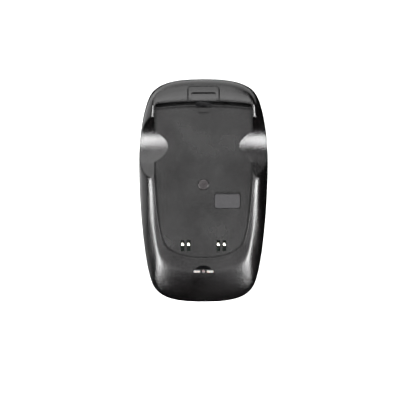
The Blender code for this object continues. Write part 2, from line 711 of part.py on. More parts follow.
def cut_latch_openings(housing):
    for i, (x, y) in enumerate(RETAINER_SCREWS):
        low = BOLT_LOW
        boss = rod(f"latch_boss_{i}", (x, y, low), (x, y, RIM_Z - LATCH_BOSS_DROP), LATCH_BOSS_RADIUS)
        pilot = rod(f"latch_pilot_{i}", (x, y, low - PAST), (x, y, low + RETAINER_SCREW_DEPTH + PAST),
                    RETAINER_SCREW_RADIUS + FIT_GAP)
        combine(housing, "UNION", boss)
        combine(housing, "DIFFERENCE", pilot)
    button_low = RIM_Z - BUTTON_SKIN - BUTTON_TRAVEL - BUTTON_OVERTRAVEL
    opening = prism("button_opening", button_outline(FIT_GAP, WALL), button_low - WALL, RIM_Z + PAST)
    nose_low = (-NOSE_WIDTH / 2 - FIT_GAP, POCKET_TOP_Y - PAST, NOSE_LOW - FIT_GAP)
    nose_high = (NOSE_WIDTH / 2 + FIT_GAP, WALL_BACK_Y + PAST, button_low)
    combine(housing, "DIFFERENCE", opening, block("nose_opening", nose_low, nose_high))


def cut_deck_openings(housing):
    """Windows in the deck for what stands through it under the plate."""
    low = DECK_BOTTOM - PAST
    high = DECK_TOP + PAST
    post = rod("deck_post_hole", (0, CAP_Y, low), (0, CAP_Y, high), PLATE_BOSS_RADIUS + FIT_GAP)
    service = prism("deck_service_hole", cover_outline(-0.8 * MM), low, high)
    combine(housing, "DIFFERENCE", post, service)
    for side, label in ((-1, "left"), (1, "right")):
        xs = sorted((side * (CONTACT_BLOCK_IN - FIT_GAP), side * (CONTACT_BLOCK_OUT + FIT_GAP)))
        rear = CONTACT_BLOCK_REAR_Y + FIT_GAP
        front = CONTACT_Y - CONTACT_SLOT[1] / 2 - FIT_GAP
        hole = block("deck_contact_hole_" + label, (xs[0], front, low), (xs[1], rear, high))
        combine(housing, "DIFFERENCE", hole)


def cut_indicator(housing):
    low = DECK_BOTTOM
    high = PLATE_TOP + PAST
    window = prism("window_hole", window_outline(INDICATOR_GAP), low, high)
    lamp = rod("lamp_hole", (0, LAMP_Y, low), (0, LAMP_Y, high),
               LAMP_DIAMETER / 2 + INDICATOR_GAP, segments=24)
    combine(housing, "DIFFERENCE", window, lamp)
    for side, label in ((-1, "left"), (1, "right")):
        bar = prism("bar_hole_" + label, lamp_outline(side, INDICATOR_GAP), low, high)
        combine(housing, "DIFFERENCE", bar)


def base_rings(inset, low, high):
    """Rings of the base's bowl, from the underside up to its rim."""
    rings = []
    for step in range(5):
        angle = math.radians(90) * step / 4
        ring = moved_in(BODY_RING, inset + TUCK_IN * (1 - math.sin(angle)))
        rings.append(at_height(ring, low + TUCK_UP * (1 - math.cos(angle))))
    rings.append(at_height(moved_in(BODY_RING, inset), high))
    return rings


def base_housing():
    rim_z = PARTING_Z - FIT_GAP
    base = loft("base_housing", base_rings(0, FOOT_DROP, rim_z))
    hollow = loft("base_hollow", base_rings(WALL, FLOOR_TOP, rim_z + WALL))
    combine(base, "DIFFERENCE", hollow)
    lip_low = rim_z - PAST
    lip = loft("base_lip", [
        at_height(moved_in(BODY_RING, WALL - LIP_THICKNESS), lip_low),
        at_height(moved_in(BODY_RING, WALL - LIP_THICKNESS), PARTING_Z + LIP_HEIGHT),
    ])
    lip_hole = loft("base_lip_hole", [
        at_height(moved_in(BODY_RING, WALL), lip_low - PAST),
        at_height(moved_in(BODY_RING, WALL), PARTING_Z + LIP_HEIGHT + PAST),
    ])
    combine(lip, "DIFFERENCE", lip_hole)
    for side, label in ((-1, "left"), (1, "right")):
        clear = scoop_rod("lip_scoop_room_" + label, side, SCOOP_RADIUS + WALL + FIT_GAP)
        combine(lip, "DIFFERENCE", clear)
    for i, (x, y) in enumerate(HOUSING_SCREWS):
        boss = rod(f"base_boss_{i}", (x, y, FLOOR_TOP - WELD), (x, y, PARTING_Z),
                   BOSS_RADIUS + 0.2 * MM)
        sunk = rod(f"base_sink_{i}", (x, y, 0), (x, y, HEAD_SEAT_Z), SCREW_HEAD_RADIUS + FIT_GAP)
        through = rod(f"base_through_{i}", (x, y, HEAD_SEAT_Z - PAST), (x, y, PARTING_Z + PAST),
                      SCREW_RADIUS + FIT_GAP)
        combine(base, "UNION", boss)
        combine(base, "DIFFERENCE", sunk, through)
    for i, (x, y) in enumerate(BOARD_SCREWS):
        add_boss(base, f"board_boss_{i}", (x, y), BOARD_BOTTOM - FIT_GAP, BOSS_RADIUS - FIT_GAP,
                 SCREW_RADIUS)
    add_boss(base, "plate_post", (0, CAP_Y), PLATE_POST_TOP, PLATE_POST_RADIUS, PLATE_SCREW_RADIUS)
    for i, (x, y) in enumerate(FEET):
        recess = rod(f"foot_recess_{i}", (x, y, 0), (x, y, FOOT_DROP + FOOT_RECESS),
                     FOOT_RADIUS + FIT_GAP, segments=32)
        combine(base, "DIFFERENCE", recess)
    label_hole = prism("label_recess", label_outline(FIT_GAP), 0, FOOT_DROP + 2 * LABEL_THICKNESS)
    inlet = rod("inlet_hole", (0, INLET_BODY_REAR_Y - WALL, INLET_Z), (0, HALF_LENGTH + PAST, INLET_Z),
                INLET_RADIUS + FIT_GAP)
    combine(base, "DIFFERENCE", label_hole, inlet)
    combine(base, "UNION", lip)
    return as_part(base, "textured_black", 30)


def add_boss(base, name, place, top, radius, screw_radius):
    """A screw post on the base's floor, with a pilot hole that stops above the underside."""
    x, y = place
    boss = rod(name, (x, y, FLOOR_TOP - WELD), (x, y, top), radius)
    hole = rod(name + "_hole", (x, y, FLOOR_TOP + WELD + FIT_GAP), (x, y, top + PAST),
               screw_radius + FIT_GAP)
    combine(base, "UNION", boss)
    combine(base, "DIFFERENCE", hole)


def label_outline(extra):
    return rounded_box(LABEL_SIZE[0] + 2 * extra, LABEL_SIZE[1] + 2 * extra,
                       LABEL_CORNER + extra, (0, LABEL_Y))


# ---------------------------------------------------------------- pocket plate


def pocket_plate():
    top_y = POCKET_TOP_Y - TROUGH_WIDTH - LEDGE_WIDTH
    outline = moved_in(whole_outline(lambda u: pocket_point(u, top_y)), SEAM)
    plate = prism("pocket_plate", outline, PLATE_BOTTOM, PLATE_TOP)
    lug_x, lug_y, lug_z = LUG_SIZE
    lug_place = (0, POCKET_TOP_Y - LUG_DOWN)
    lug = prism("locating_lug", rounded_box(lug_x, lug_y, lug_y / 5, lug_place, steps=3),
                PLATE_TOP - WELD, PLATE_TOP + lug_z)
    boss = rod("plate_boss", (0, CAP_Y, PLATE_BOSS_BOTTOM), (0, CAP_Y, PLATE_TOP - WELD),
               PLATE_BOSS_RADIUS)
    combine(plate, "UNION", lug, boss)
    for side, label in ((-1, "left"), (1, "right")):
        notch = prism("plate_notch_" + label, scoop_outline(side, SCOOP_LIP + SEAM),
                      PLATE_BOTTOM - PAST, PLATE_TOP + PAST)
        combine(plate, "DIFFERENCE", notch)
    cap_hole = rod("cap_hole", (0, CAP_Y, PLATE_HEAD_Z[0] - FIT_GAP), (0, CAP_Y, PLATE_TOP + PAST),
                   CAP_DIAMETER / 2 + FIT_GAP, segments=48)
    screw_hole = rod("plate_screw_hole", (0, CAP_Y, PLATE_BOSS_BOTTOM - PAST),
                     (0, CAP_Y, PLATE_HEAD_Z[0]), PLATE_SCREW_RADIUS + FIT_GAP)
    cover_hole = prism("cover_hole", cover_outline(SEAM), PLATE_BOTTOM - PAST, PLATE_TOP + PAST)
    combine(plate, "DIFFERENCE", cap_hole, screw_hole, cover_hole)
    width, length = CONTACT_SLOT
    for i, x in enumerate(CONTACT_X):
        slot = block(f"contact_slot_{i}",
                     (x - width / 2, CONTACT_Y - length / 2, PLATE_BOTTOM - PAST),
                     (x + width / 2, CONTACT_Y + length / 2, PLATE_TOP + PAST))
        combine(plate, "DIFFERENCE", slot)
    return as_part(plate, "textured_black", 30)


def cover_outline(extra):
    return rounded_box(COVER_SIZE[0] + 2 * extra, COVER_SIZE[1] + 2 * extra,
                       COVER_CORNER + extra, (COVER_X, COVER_Y))


def service_cover():
    top = PLATE_TOP - COVER_SUNK
    cover = prism("service_cover", cover_outline(0), top - COVER_THICKNESS, top)
    round_edges(cover, COVER_THICKNESS / 5)
    return as_part(cover, "rubber")


def screw_cap():
    top = PLATE_TOP - 0.05 * MM
    radius = CAP_DIAMETER / 2
    low = PLATE_HEAD_Z[1] + FIT_GAP
    profile = [(0, top), (radius - 0.2 * MM, top), (radius, top - 0.2 * MM), (radius, low), (0, low)]
    return as_part(turned("screw_cap", profile, (0, CAP_Y, 0), 48), "textured_black")


def screw(name, place, head_z, shank_end, radius, head_radius):
    """A pan-head screw: head_z is (seat, crown); the shank runs from the seat to shank_end."""
    seat, crown = head_z
    up = 1 if crown > seat else -1
    rounding = 0.4 * MM * up
    profile = [
        (0, crown), (head_radius * 0.7, crown), (head_radius, crown - rounding),
        (head_radius, seat), (radius, seat), (radius, shank_end + 0.6 * MM * up), (0, shank_end),
    ]
    if up < 0:
        profile.reverse()
    body = turned(name, profile, (*place, 0), 16)
    slot_low = min(crown, crown - 0.7 * MM * up)
    half = head_radius * 0.62
    for turn, (dx, dy) in enumerate(((half, 0.25 * MM), (0.25 * MM, half))):
        slot = block(f"{name}_slot_{turn}",
                     (place[0] - dx, place[1] - dy, slot_low - (0.1 * MM if up < 0 else 0)),
                     (place[0] + dx, place[1] + dy, slot_low + 0.8 * MM))
        combine(body, "DIFFERENCE", slot)
    return as_part(body, "steel")


# ---------------------------------------------------------------- latch


def release_button():
    button = body_solid("release_button")
    inside = prism("button_inside", button_outline(0), PARTING_Z - PAST, RIM_Z + PAST)
    combine(button, "INTERSECT", inside)
    combine(button, "DIFFERENCE", body_solid("button_underside", BUTTON_SKIN, -PAST))
    pad = prism("button_pad", rounded_box(
        PAD_WIDTH, 2 * PAD_LENGTH, PAD_CORNER, (0, BUTTON_FRONT_Y)), PARTING_Z - PAST, RIM_Z + PAST)
    combine(pad, "DIFFERENCE", body_solid("pad_floor", PAD_DEPTH, -0.2 * MM))
    combine(button, "DIFFERENCE", pad)
    leg_outline = button_leg_outline()
    ear_out, ear_length, ear_height = EAR_SIZE
    ear_low_y = LEG_BACK_Y + 0.4 * MM
    ear_top = rim_surface(ear_low_y + ear_length) - WALL - EAR_DROP
    for side, label in ((-1, "left"), (1, "right")):
        leg = side_prism("button_leg_" + label, leg_outline, LEG_WIDTH / 2, side * LEG_X)
        ear_x = sorted((side * LEG_X, side * (BUTTON_WIDTH / 2 + ear_out)))
        ear = block("button_ear_" + label,
                    (ear_x[0], ear_low_y, ear_top - ear_height),
                    (ear_x[1], ear_low_y + ear_length, ear_top))
        combine(leg, "UNION", ear)
        combine(button, "UNION", leg)
    return as_part(button, "textured_black", 30)


def button_leg_outline():
    """A leg of the button in (Y, Z): a narrow tip, the ramp and a top that follows the rim."""
    ramp_top_z = BOLT_TOP + 0.7 * MM
    ramp_tip_y = LEG_BACK_Y + LEG_TIP
    ramp_top_y = ramp_tip_y + (ramp_top_z - LEG_TIP_Z) * RAMP_SLOPE
    outline = [(LEG_BACK_Y, LEG_TIP_Z), (ramp_tip_y, LEG_TIP_Z), (ramp_top_y, ramp_top_z)]
    for y in spread(ramp_top_y, LEG_BACK_Y, 3) + [LEG_BACK_Y]:
        outline.append((y, rim_surface(y) - BUTTON_SKIN / 2))
    return outline


def latch_bolt():
    """The bolt: a stem with the hooked nose, and a crossbar with the ramp the button pushes."""
    tip_y = POCKET_TOP_Y - NOSE_REACH
    tip_bevel = 0.7 * MM
    stem_outline = [
        (WEB_FRONT_Y, BOLT_LOW), (BOLT_REAR_Y, BOLT_LOW), (BOLT_REAR_Y, BOLT_TOP),
        (WEB_BACK_Y, BOLT_TOP), (WEB_BACK_Y, NOSE_HIGH), (tip_y + tip_bevel, NOSE_HIGH),
        (tip_y, NOSE_HIGH - tip_bevel), (tip_y, NOSE_LOW), (WEB_FRONT_Y, NOSE_LOW),
    ]
    bolt = side_prism("latch_bolt", stem_outline, NOSE_WIDTH / 2)
    ramp_low_y = LEG_BACK_Y + LEG_TIP + RAMP_GAP - (LEG_TIP_Z - BOLT_LOW) * RAMP_SLOPE
    ramp_high_y = ramp_low_y + BOLT_THICKNESS * RAMP_SLOPE
    bar_outline = [
        (ramp_low_y, BOLT_LOW), (BOLT_REAR_Y, BOLT_LOW),
        (BOLT_REAR_Y, BOLT_TOP), (ramp_high_y, BOLT_TOP),
    ]
    bar = side_prism("latch_crossbar", bar_outline, CROSSBAR_WIDTH / 2)
    spring_room = LATCH_COIL_RADIUS + LATCH_WIRE + FIT_GAP
    groove = block("latch_groove",
                   (-spring_room, SPRING_FRONT_Y - FIT_GAP, SPRING_Z - spring_room),
                   (spring_room, BOLT_REAR_Y + PAST, BOLT_TOP + PAST))
    combine(bolt, "UNION", bar)
    combine(bolt, "DIFFERENCE", groove)
    return as_part(bolt, "smooth_black")


def latch_spring():
    """The coil that pushes the bolt's nose out; its rear end stands on the end wall."""
    turns = LATCH_COIL_TURNS
    per_turn = 10
    curve = bpy.data.curves.new("latch_spring", "CURVE")
    curve.dimensions = "3D"
    curve.bevel_depth = LATCH_WIRE
    curve.bevel_resolution = 1
    curve.use_fill_caps = True
    spline = curve.splines.new("POLY")
    spline.points.add(turns * per_turn)
    for i, point in enumerate(spline.points):
        angle = 2 * math.pi * i / per_turn
        y = SPRING_FRONT_Y + (SPRING_REAR_Y - SPRING_FRONT_Y) * i / (turns * per_turn)
        point.co = (LATCH_COIL_RADIUS * math.cos(angle), y,
                    SPRING_Z + LATCH_COIL_RADIUS * math.sin(angle), 1)
    coil = cutter_object("latch_spring", curve)
    PARTS.objects.link(coil)
    CUTTERS.objects.unlink(coil)
    coil.hide_render = False
    coil.display_type = "TEXTURED"
    return finish_part(coil, "steel")


def latch_retainer():
    """The plate under the bolt that holds it up in its guide."""
    high = BOLT_LOW - FIT_GAP
    low = high - RETAINER_THICKNESS
    half = RETAINER_SCREW_X + RETAINER_HEAD[0] + WELD
    centre_y = RETAINER_SCREWS[0][1]
    outline = rounded_box(2 * half, RETAINER_LENGTH, RETAINER_CORNER, (0, centre_y), steps=3)
    plate = prism("latch_retainer", outline, low, high)
    for i, (x, y) in enumerate(RETAINER_SCREWS):
        hole = rod(f"retainer_hole_{i}", (x, y, low - PAST), (x, y, high + PAST),
                   RETAINER_SCREW_RADIUS + FIT_GAP)
        combine(plate, "DIFFERENCE", hole)
    return as_part(plate, "smooth_black")


# ---------------------------------------------------------------- contacts


def contact_path():
    """Middle line of a contact spring in (Y, Z): carried end, riser, dome and tail."""
    carry_y = CONTACT_Y + 7.3 * MM
    dome_z = PLATE_TOP + CONTACT_STANDS - CONTACT_STRIP / 2
    dome_y = CONTACT_Y + 0.6 * MM
    riser_y = CONTACT_Y + 2.1 * MM
    dome_radius = CONTACT_DOME_RADIUS
    path = [(carry_y, CONTACT_CARRY_Z), (riser_y + 1.2 * MM, CONTACT_CARRY_Z),
            (riser_y + 0.5 * MM, CONTACT_CARRY_Z + 0.5 * MM)]
    for i in range(7):
        angle = math.radians(10 + 150 * i / 6)
        path.append((dome_y + dome_radius * math.cos(angle),
                     dome_z - dome_radius + dome_radius * math.sin(angle)))
    path.append((dome_y - dome_radius - 0.3 * MM, PLATE_BOTTOM + 0.3 * MM))
    return [Vector(p) for p in path]


def strip_outline(path, thickness):
    """A bent strip's outline: its middle line moved half its thickness to each side."""
    sides = ([], [])
    for i, point in enumerate(path):
        along = (path[min(i + 1, len(path) - 1)] - path[max(i - 1, 0)]).normalized()
        across = thickness / 2 * Vector((-along.y, along.x))
        sides[0].append(point + across)
        sides[1].append(point - across)
    return [tuple(p) for p in sides[0] + sides[1][::-1]]


def contact_springs():
    outline = strip_outline(contact_path(), CONTACT_STRIP)
    for i, x in enumerate(CONTACT_X):
        name = f"contact_spring_{i + 1}"
        spring = side_prism(name, outline, CONTACT_WIDTH / 2, x)
        pivot = Vector((x, CONTACT_Y + CONTACT_PIVOT_UP, CONTACT_CARRY_Z))
        spring.data.transform(Matrix.Translation(-pivot))
        spring.location = pivot
        as_part(spring, "spring_bronze")


def contact_blocks():
    """The two carriers on the board, each with a tunnel for two springs."""
    low = BOARD_TOP + SOLDER_GAP
    high = CONTACT_CARRY_Z + 2.0 * MM
    for side, label in ((-1, "left"), (1, "right")):
        xs = sorted((side * CONTACT_BLOCK_IN, side * CONTACT_BLOCK_OUT))
        carrier = block("contact_block_" + label,
                        (xs[0], CONTACT_BLOCK_FRONT_Y, low), (xs[1], CONTACT_BLOCK_REAR_Y, high))
        for x in CONTACT_X:
            if x * side > 0:
                tunnel = block(f"{carrier.name}_tunnel_{abs(x) / MM:.0f}",
                               (x - CONTACT_WIDTH / 2 - FIT_GAP, CONTACT_BLOCK_FRONT_Y - PAST,
                                CONTACT_CARRY_Z - CONTACT_TUNNEL),
                               (x + CONTACT_WIDTH / 2 + FIT_GAP, CONTACT_BLOCK_REAR_Y - 0.8 * MM,
                                CONTACT_CARRY_Z + CONTACT_TUNNEL))
                combine(carrier, "DIFFERENCE", tunnel)
        as_part(carrier, "component")


# ---------------------------------------------------------------- indicator


def indicator():
    top = PLATE_TOP - INDICATOR_SUNK
    window = prism("status_window", window_outline(0), top - WINDOW_THICKNESS, top)
    as_part(window, "smooth_black")
    led_low_z = BOARD_TOP + SOLDER_GAP
    led_high_z = led_low_z + LED_HEIGHT - FIT_GAP
    guide_low = led_high_z + FIT_GAP
    for side, label in ((-1, "left"), (1, "right")):
        bar = prism("lamp_bar_" + label, lamp_outline(side, 0), guide_low, top)
        as_part(bar, "clear_lamp")
        led_low = (side * LAMP_BAR_X - 1.0 * MM, LAMP_Y - 0.6 * MM, led_low_z)
        led_high = (side * LAMP_BAR_X + 1.0 * MM, LAMP_Y + 0.6 * MM, led_high_z)
        as_part(block("led_" + label, led_low, led_high), "clear_lamp")
    radius = LAMP_DIAMETER / 2
    profile = [(0, top + 0.15 * MM), (radius * 0.6, top + 0.1 * MM), (radius, top - 0.15 * MM),
               (radius, guide_low), (0, guide_low)]
    as_part(turned("status_lamp", profile, (0, LAMP_Y, 0), 24), "amber_lamp")
    led = block("status_led", (-0.8 * MM, LAMP_Y - 0.5 * MM, led_low_z),
                (0.8 * MM, LAMP_Y + 0.5 * MM, led_high_z))
    as_part(led, "amber_lamp")


# ---------------------------------------------------------------- board and inlet


def circuit_board():
    centre_y = (BOARD_TOP_Y + BOARD_TOE_Y) / 2
    outline = rounded_box(2 * BOARD_HALF_WIDTH, BOARD_TOP_Y - BOARD_TOE_Y, 2 * MM,
                          (0, centre_y), steps=3)
    board = prism("circuit_board", outline, BOARD_BOTTOM, BOARD_TOP)
    low = BOARD_BOTTOM - PAST
    high = BOARD_TOP + PAST
    combine(board, "DIFFERENCE", rod("board_post_hole", (0, CAP_Y, low), (0, CAP_Y, high),
                                     PLATE_POST_RADIUS + WELD))
    for i, (x, y) in enumerate(BOARD_SCREWS):
        hole = rod(f"board_hole_{i}", (x, y, low), (x, y, high), SCREW_RADIUS + FIT_GAP)
        combine(board, "DIFFERENCE", hole)
    return as_part(board, "solder_mask")


def board_components():
    top = BOARD_TOP + SOLDER_GAP
    under = BOARD_BOTTOM - SOLDER_GAP
    chip = block("charger_chip", (-7.5 * MM, CAP_Y + 12 * MM, top),
                 (-1.5 * MM, CAP_Y + 17 * MM, top + 1.3 * MM))
    as_part(round_edges(chip, 0.1 * MM, 1), "component")
    coil_profile = [(0, under), (3.0 * MM, under), (3.4 * MM, under - 0.4 * MM),
                    (3.4 * MM, under - 2.6 * MM), (3.0 * MM, under - 3.0 * MM), (0, under - 3.0 * MM)]
    as_part(turned("power_inductor", coil_profile, (6 * MM, CAP_Y + 15 * MM, 0)), "component")
    can_profile = [(0, under), (2.4 * MM, under), (2.4 * MM, under - 2.8 * MM),
                   (2.1 * MM, under - 3.1 * MM), (0, under - 3.1 * MM)]
    for i, y in enumerate((CAP_Y + 22 * MM, CAP_Y + 29 * MM)):
        as_part(turned(f"capacitor_{i + 1}", can_profile, (-6 * MM, y, 0), 24), "steel")
    body = block("service_connector", (COVER_X - 5 * MM, COVER_Y - 2.2 * MM, top),
                 (COVER_X + 5 * MM, COVER_Y + 2.2 * MM, DECK_TOP - 0.4 * MM))
    mouth = block("connector_mouth", (COVER_X - 4.2 * MM, COVER_Y - 1.4 * MM, top + 0.8 * MM),
                  (COVER_X + 4.2 * MM, COVER_Y + 1.4 * MM, DECK_TOP + MM))
    combine(body, "DIFFERENCE", mouth)
    as_part(body, "component")


def dc_inlet():
    width, length, height = INLET_BODY
    rear = INLET_BODY_REAR_Y
    body = block("dc_inlet", (-width / 2, rear - length, INLET_Z - height / 2),
                 (width / 2, rear, INLET_Z + height / 2))
    barrel = rod("inlet_barrel", (0, rear - WELD, INLET_Z), (0, HALF_LENGTH - 0.6 * MM, INLET_Z),
                 INLET_RADIUS)
    bore_start = rear - INLET_BORE_DEPTH
    bore = rod("inlet_bore", (0, bore_start, INLET_Z), (0, HALF_LENGTH + PAST, INLET_Z), INLET_BORE)
    combine(body, "UNION", barrel)
    combine(body, "DIFFERENCE", bore)
    as_part(body, "smooth_black")
    pin_end = HALF_LENGTH - 1.6 * MM
    pin = rod("dc_inlet_pin", (0, bore_start + FIT_GAP, INLET_Z), (0, pin_end, INLET_Z), INLET_PIN, 16)
    as_part(round_edges(pin, 0.2 * MM), "steel")


# ---------------------------------------------------------------- underside


def feet_and_label():
    top = FOOT_DROP + FOOT_RECESS - FIT_GAP
    profile = [(0, top), (FOOT_RADIUS, top), (FOOT_RADIUS, 0.5 * MM),
               (FOOT_RADIUS - 0.15 * MM, 0.15 * MM), (FOOT_RADIUS - 0.5 * MM, 0), (0, 0)]
    for i, (x, y) in enumerate(FEET):
        as_part(turned(f"rubber_foot_{i + 1}", profile, (x, y, 0), 32), "rubber")
    label = prism("rating_plate", label_outline(0), FOOT_DROP, FOOT_DROP + LABEL_THICKNESS)
    as_part(label, "label")


def screws():
    head_crown = HEAD_SEAT_Z - FIT_GAP - SCREW_HEAD_HEIGHT
    for i, place in enumerate(HOUSING_SCREWS):
        screw(f"housing_screw_{i + 1}", place, (HEAD_SEAT_Z - FIT_GAP, head_crown),
              DECK_TOP - 1.4 * MM, SCREW_RADIUS, SCREW_HEAD_RADIUS)
    board_seat = BOARD_TOP + FIT_GAP
    for i, place in enumerate(BOARD_SCREWS):
        screw(f"board_screw_{i + 1}", place, (board_seat, board_seat + 1.3 * MM),
              FLOOR_TOP + 1.2 * MM, SCREW_RADIUS, 2.0 * MM)
    screw("plate_screw", (0, CAP_Y), PLATE_HEAD_Z, FLOOR_TOP + 1.6 * MM,
          PLATE_SCREW_RADIUS, PLATE_HEAD_RADIUS)
    retainer_seat = BOLT_LOW - RETAINER_THICKNESS - 2 * FIT_GAP
    head_radius, head_height = RETAINER_HEAD
    for i, place in enumerate(RETAINER_SCREWS):
        screw(f"retainer_screw_{i + 1}", place, (retainer_seat, retainer_seat - head_height),
              BOLT_LOW + RETAINER_SCREW_DEPTH, RETAINER_SCREW_RADIUS, head_radius)


def build():
    top_housing()
    base_housing()
    pocket_plate()
    service_cover()
    screw_cap()
    release_button()
    latch_bolt()
    latch_spring()
    latch_retainer()
    contact_springs()
    contact_blocks()
    indicator()
    circuit_board()
    board_components()
    dc_inlet()
    feet_and_label()
    screws()


build()
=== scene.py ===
"""Looks of the desktop charging cradle for a handheld radio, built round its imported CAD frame.

Every length is in metres and every place comes from the frame's own nodes.
"""

import math

import bmesh
import bpy
from mathutils import Matrix, Vector


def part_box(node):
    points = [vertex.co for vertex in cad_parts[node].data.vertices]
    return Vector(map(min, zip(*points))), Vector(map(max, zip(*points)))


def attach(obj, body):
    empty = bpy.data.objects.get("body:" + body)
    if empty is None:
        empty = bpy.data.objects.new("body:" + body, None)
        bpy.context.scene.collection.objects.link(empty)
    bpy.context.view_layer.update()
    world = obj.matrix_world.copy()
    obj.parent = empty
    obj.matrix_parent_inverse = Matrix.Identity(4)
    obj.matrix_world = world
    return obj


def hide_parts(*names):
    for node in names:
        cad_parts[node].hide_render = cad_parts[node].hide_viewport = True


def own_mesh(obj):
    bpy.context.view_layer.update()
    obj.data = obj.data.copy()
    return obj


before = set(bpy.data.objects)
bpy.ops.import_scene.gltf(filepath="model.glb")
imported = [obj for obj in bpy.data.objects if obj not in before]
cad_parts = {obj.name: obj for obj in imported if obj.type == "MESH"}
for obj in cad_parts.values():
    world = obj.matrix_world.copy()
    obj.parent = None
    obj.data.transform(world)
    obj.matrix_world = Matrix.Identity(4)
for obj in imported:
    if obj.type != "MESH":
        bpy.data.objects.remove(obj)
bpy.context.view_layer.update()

bl_info = {
    "name": "Radio charging cradle",
    "version": (1, 0, 0),
    "blender": (4, 5, 0),
    "location": "View3D > Sidebar > Cradle",
    "description": "Builds the finished surfaces of a desktop charging cradle",
    "category": "Object",
}

MM = 0.001
QUARTER = math.radians(90)


# ---- sizes read from the frame


def span(node, axis):
    """Lowest and highest coordinate of a CAD node along one axis (0, 1 or 2)."""
    low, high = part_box(node)
    return low[axis], high[axis]


def middle(node):
    """The middle of a CAD node in plan."""
    low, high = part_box(node)
    return (low.x + high.x) / 2, (low.y + high.y) / 2


HALF_WIDTH = span("top_housing", 0)[1]
HALF_LENGTH = span("top_housing", 1)[1]
PARTING_Z, RIM_Z = span("top_housing", 2)
FIT_GAP = 0.3 * MM           # clearance between neighbouring pieces
PAST = MM                    # how far a cutter reaches past what it cuts
BASE_HIGH = PARTING_Z - FIT_GAP
UNDERSIDE_Z = span("rating_plate", 2)[0]
PLATE_TOP = span("screw_cap", 2)[1] + 0.05 * MM
PLATE_BOTTOM = span("service_cover", 2)[0] - 0.1 * MM
DECK_TOP = PLATE_BOTTOM - FIT_GAP
DECK_BOTTOM = DECK_TOP - 2.0 * MM
WALL = 2.0 * MM
SEAM = 0.35 * MM
POCKET_HALF_WIDTH = span("pocket_plate", 0)[1] + SEAM
POCKET_TOE_Y = span("pocket_plate", 1)[0] - SEAM
POCKET_TOP_Y = span("pocket_plate", 1)[1] + SEAM + 2.2 * MM
RAIL_Z = PLATE_TOP + 5.0 * MM
CAP_Y = middle("screw_cap")[1]
CAP_RADIUS = (span("screw_cap", 0)[1] - span("screw_cap", 0)[0]) / 2
CONTACT_NODES = [f"contact_spring_{i}" for i in range(1, 5)]
CONTACT_XS = [middle(node)[0] for node in CONTACT_NODES]
CONTACT_Y = POCKET_TOE_Y + 6.8 * MM
LAMP_Y = middle("status_lamp")[1]

# Shape of the outline between those places
WIDEST_Y = 15.5 * MM
TOP_CORNER = (HALF_WIDTH - 6.7 * MM, HALF_LENGTH - 7.9 * MM)
TOE_CORNER = (HALF_WIDTH - 6.9 * MM, 10.9 * MM - HALF_LENGTH)
POCKET_BEND_Y = 12.0 * MM
POCKET_TOE_CORNER = (POCKET_HALF_WIDTH - 4.6 * MM, POCKET_TOE_Y + 9.3 * MM)
POCKET_CORNER_RADIUS = 2.5 * MM
POCKET_ARCH = 1.4 * MM
CORNER_SPAN = 0.2
TROUGH = 1.5 * MM            # gap between the upper wall and its ledge

BUTTON_GAP = 0.6 * MM        # all round the release button
NOSE_HALF_WIDTH = 4.4 * MM
NOSE_LOW = 15.8 * MM
NOSE_TOP = PLATE_TOP + 1.45 * MM
LAMP_HOLE_RADIUS = 1.05 * MM
FOOT_RECESS_RADIUS = 5.0 * MM
BOSS_RADIUS = 3.1 * MM
SCREW_RECESS = (2.5 * MM, 5.4 * MM)      # radius, height above the table
SLOT_HALF = (MM, 2.95 * MM)              # half width and half length of a contact slot

# Finger scoops: cylinders that lean down outwards
SCOOP_RADIUS = 22.5 * MM
SCOOP_LEAN = math.radians(12.7)
SCOOP_Y = POCKET_TOP_Y - 24.5 * MM
SCOOP_TIP_X = POCKET_HALF_WIDTH - 7.4 * MM


# ---- outlines


def bezier(start, start_angle, start_reach, end, end_angle, end_reach, t):
    """A point on the cubic that leaves start and reaches end along the given angles."""
    start = Vector(start)
    end = Vector(end)
    leave = start + start_reach * Vector((math.cos(start_angle), math.sin(start_angle)))
    arrive = end - end_reach * Vector((math.cos(end_angle), math.sin(end_angle)))
    s = 1 - t
    return s ** 3 * start + 3 * s * s * t * leave + 3 * s * t * t * arrive + t ** 3 * end


def body_point(u):
    """Right half of the body's outline, from the latch end (0) to the toe (4)."""
    upper = TOP_CORNER[1] - WIDEST_Y
    lower = WIDEST_Y - TOE_CORNER[1]
    corner_angle = math.radians(-55)
    toe_angle = math.radians(-110.5)
    if u < 1:
        return bezier((0, HALF_LENGTH), 0, 0.51 * TOP_CORNER[0],
                      TOP_CORNER, corner_angle, 0.27 * TOP_CORNER[0], u)
    if u < 2:
        return bezier(TOP_CORNER, corner_angle, 0.18 * upper,
                      (HALF_WIDTH, WIDEST_Y), -QUARTER, 0.41 * upper, u - 1)
    if u < 3:
        return bezier((HALF_WIDTH, WIDEST_Y), -QUARTER, 0.29 * lower,
                      TOE_CORNER, toe_angle, 0.205 * lower, u - 2)
    return bezier(TOE_CORNER, toe_angle, 0.36 * TOE_CORNER[0],
                  (0, -HALF_LENGTH), -2 * QUARTER, 0.51 * TOE_CORNER[0], u - 3)


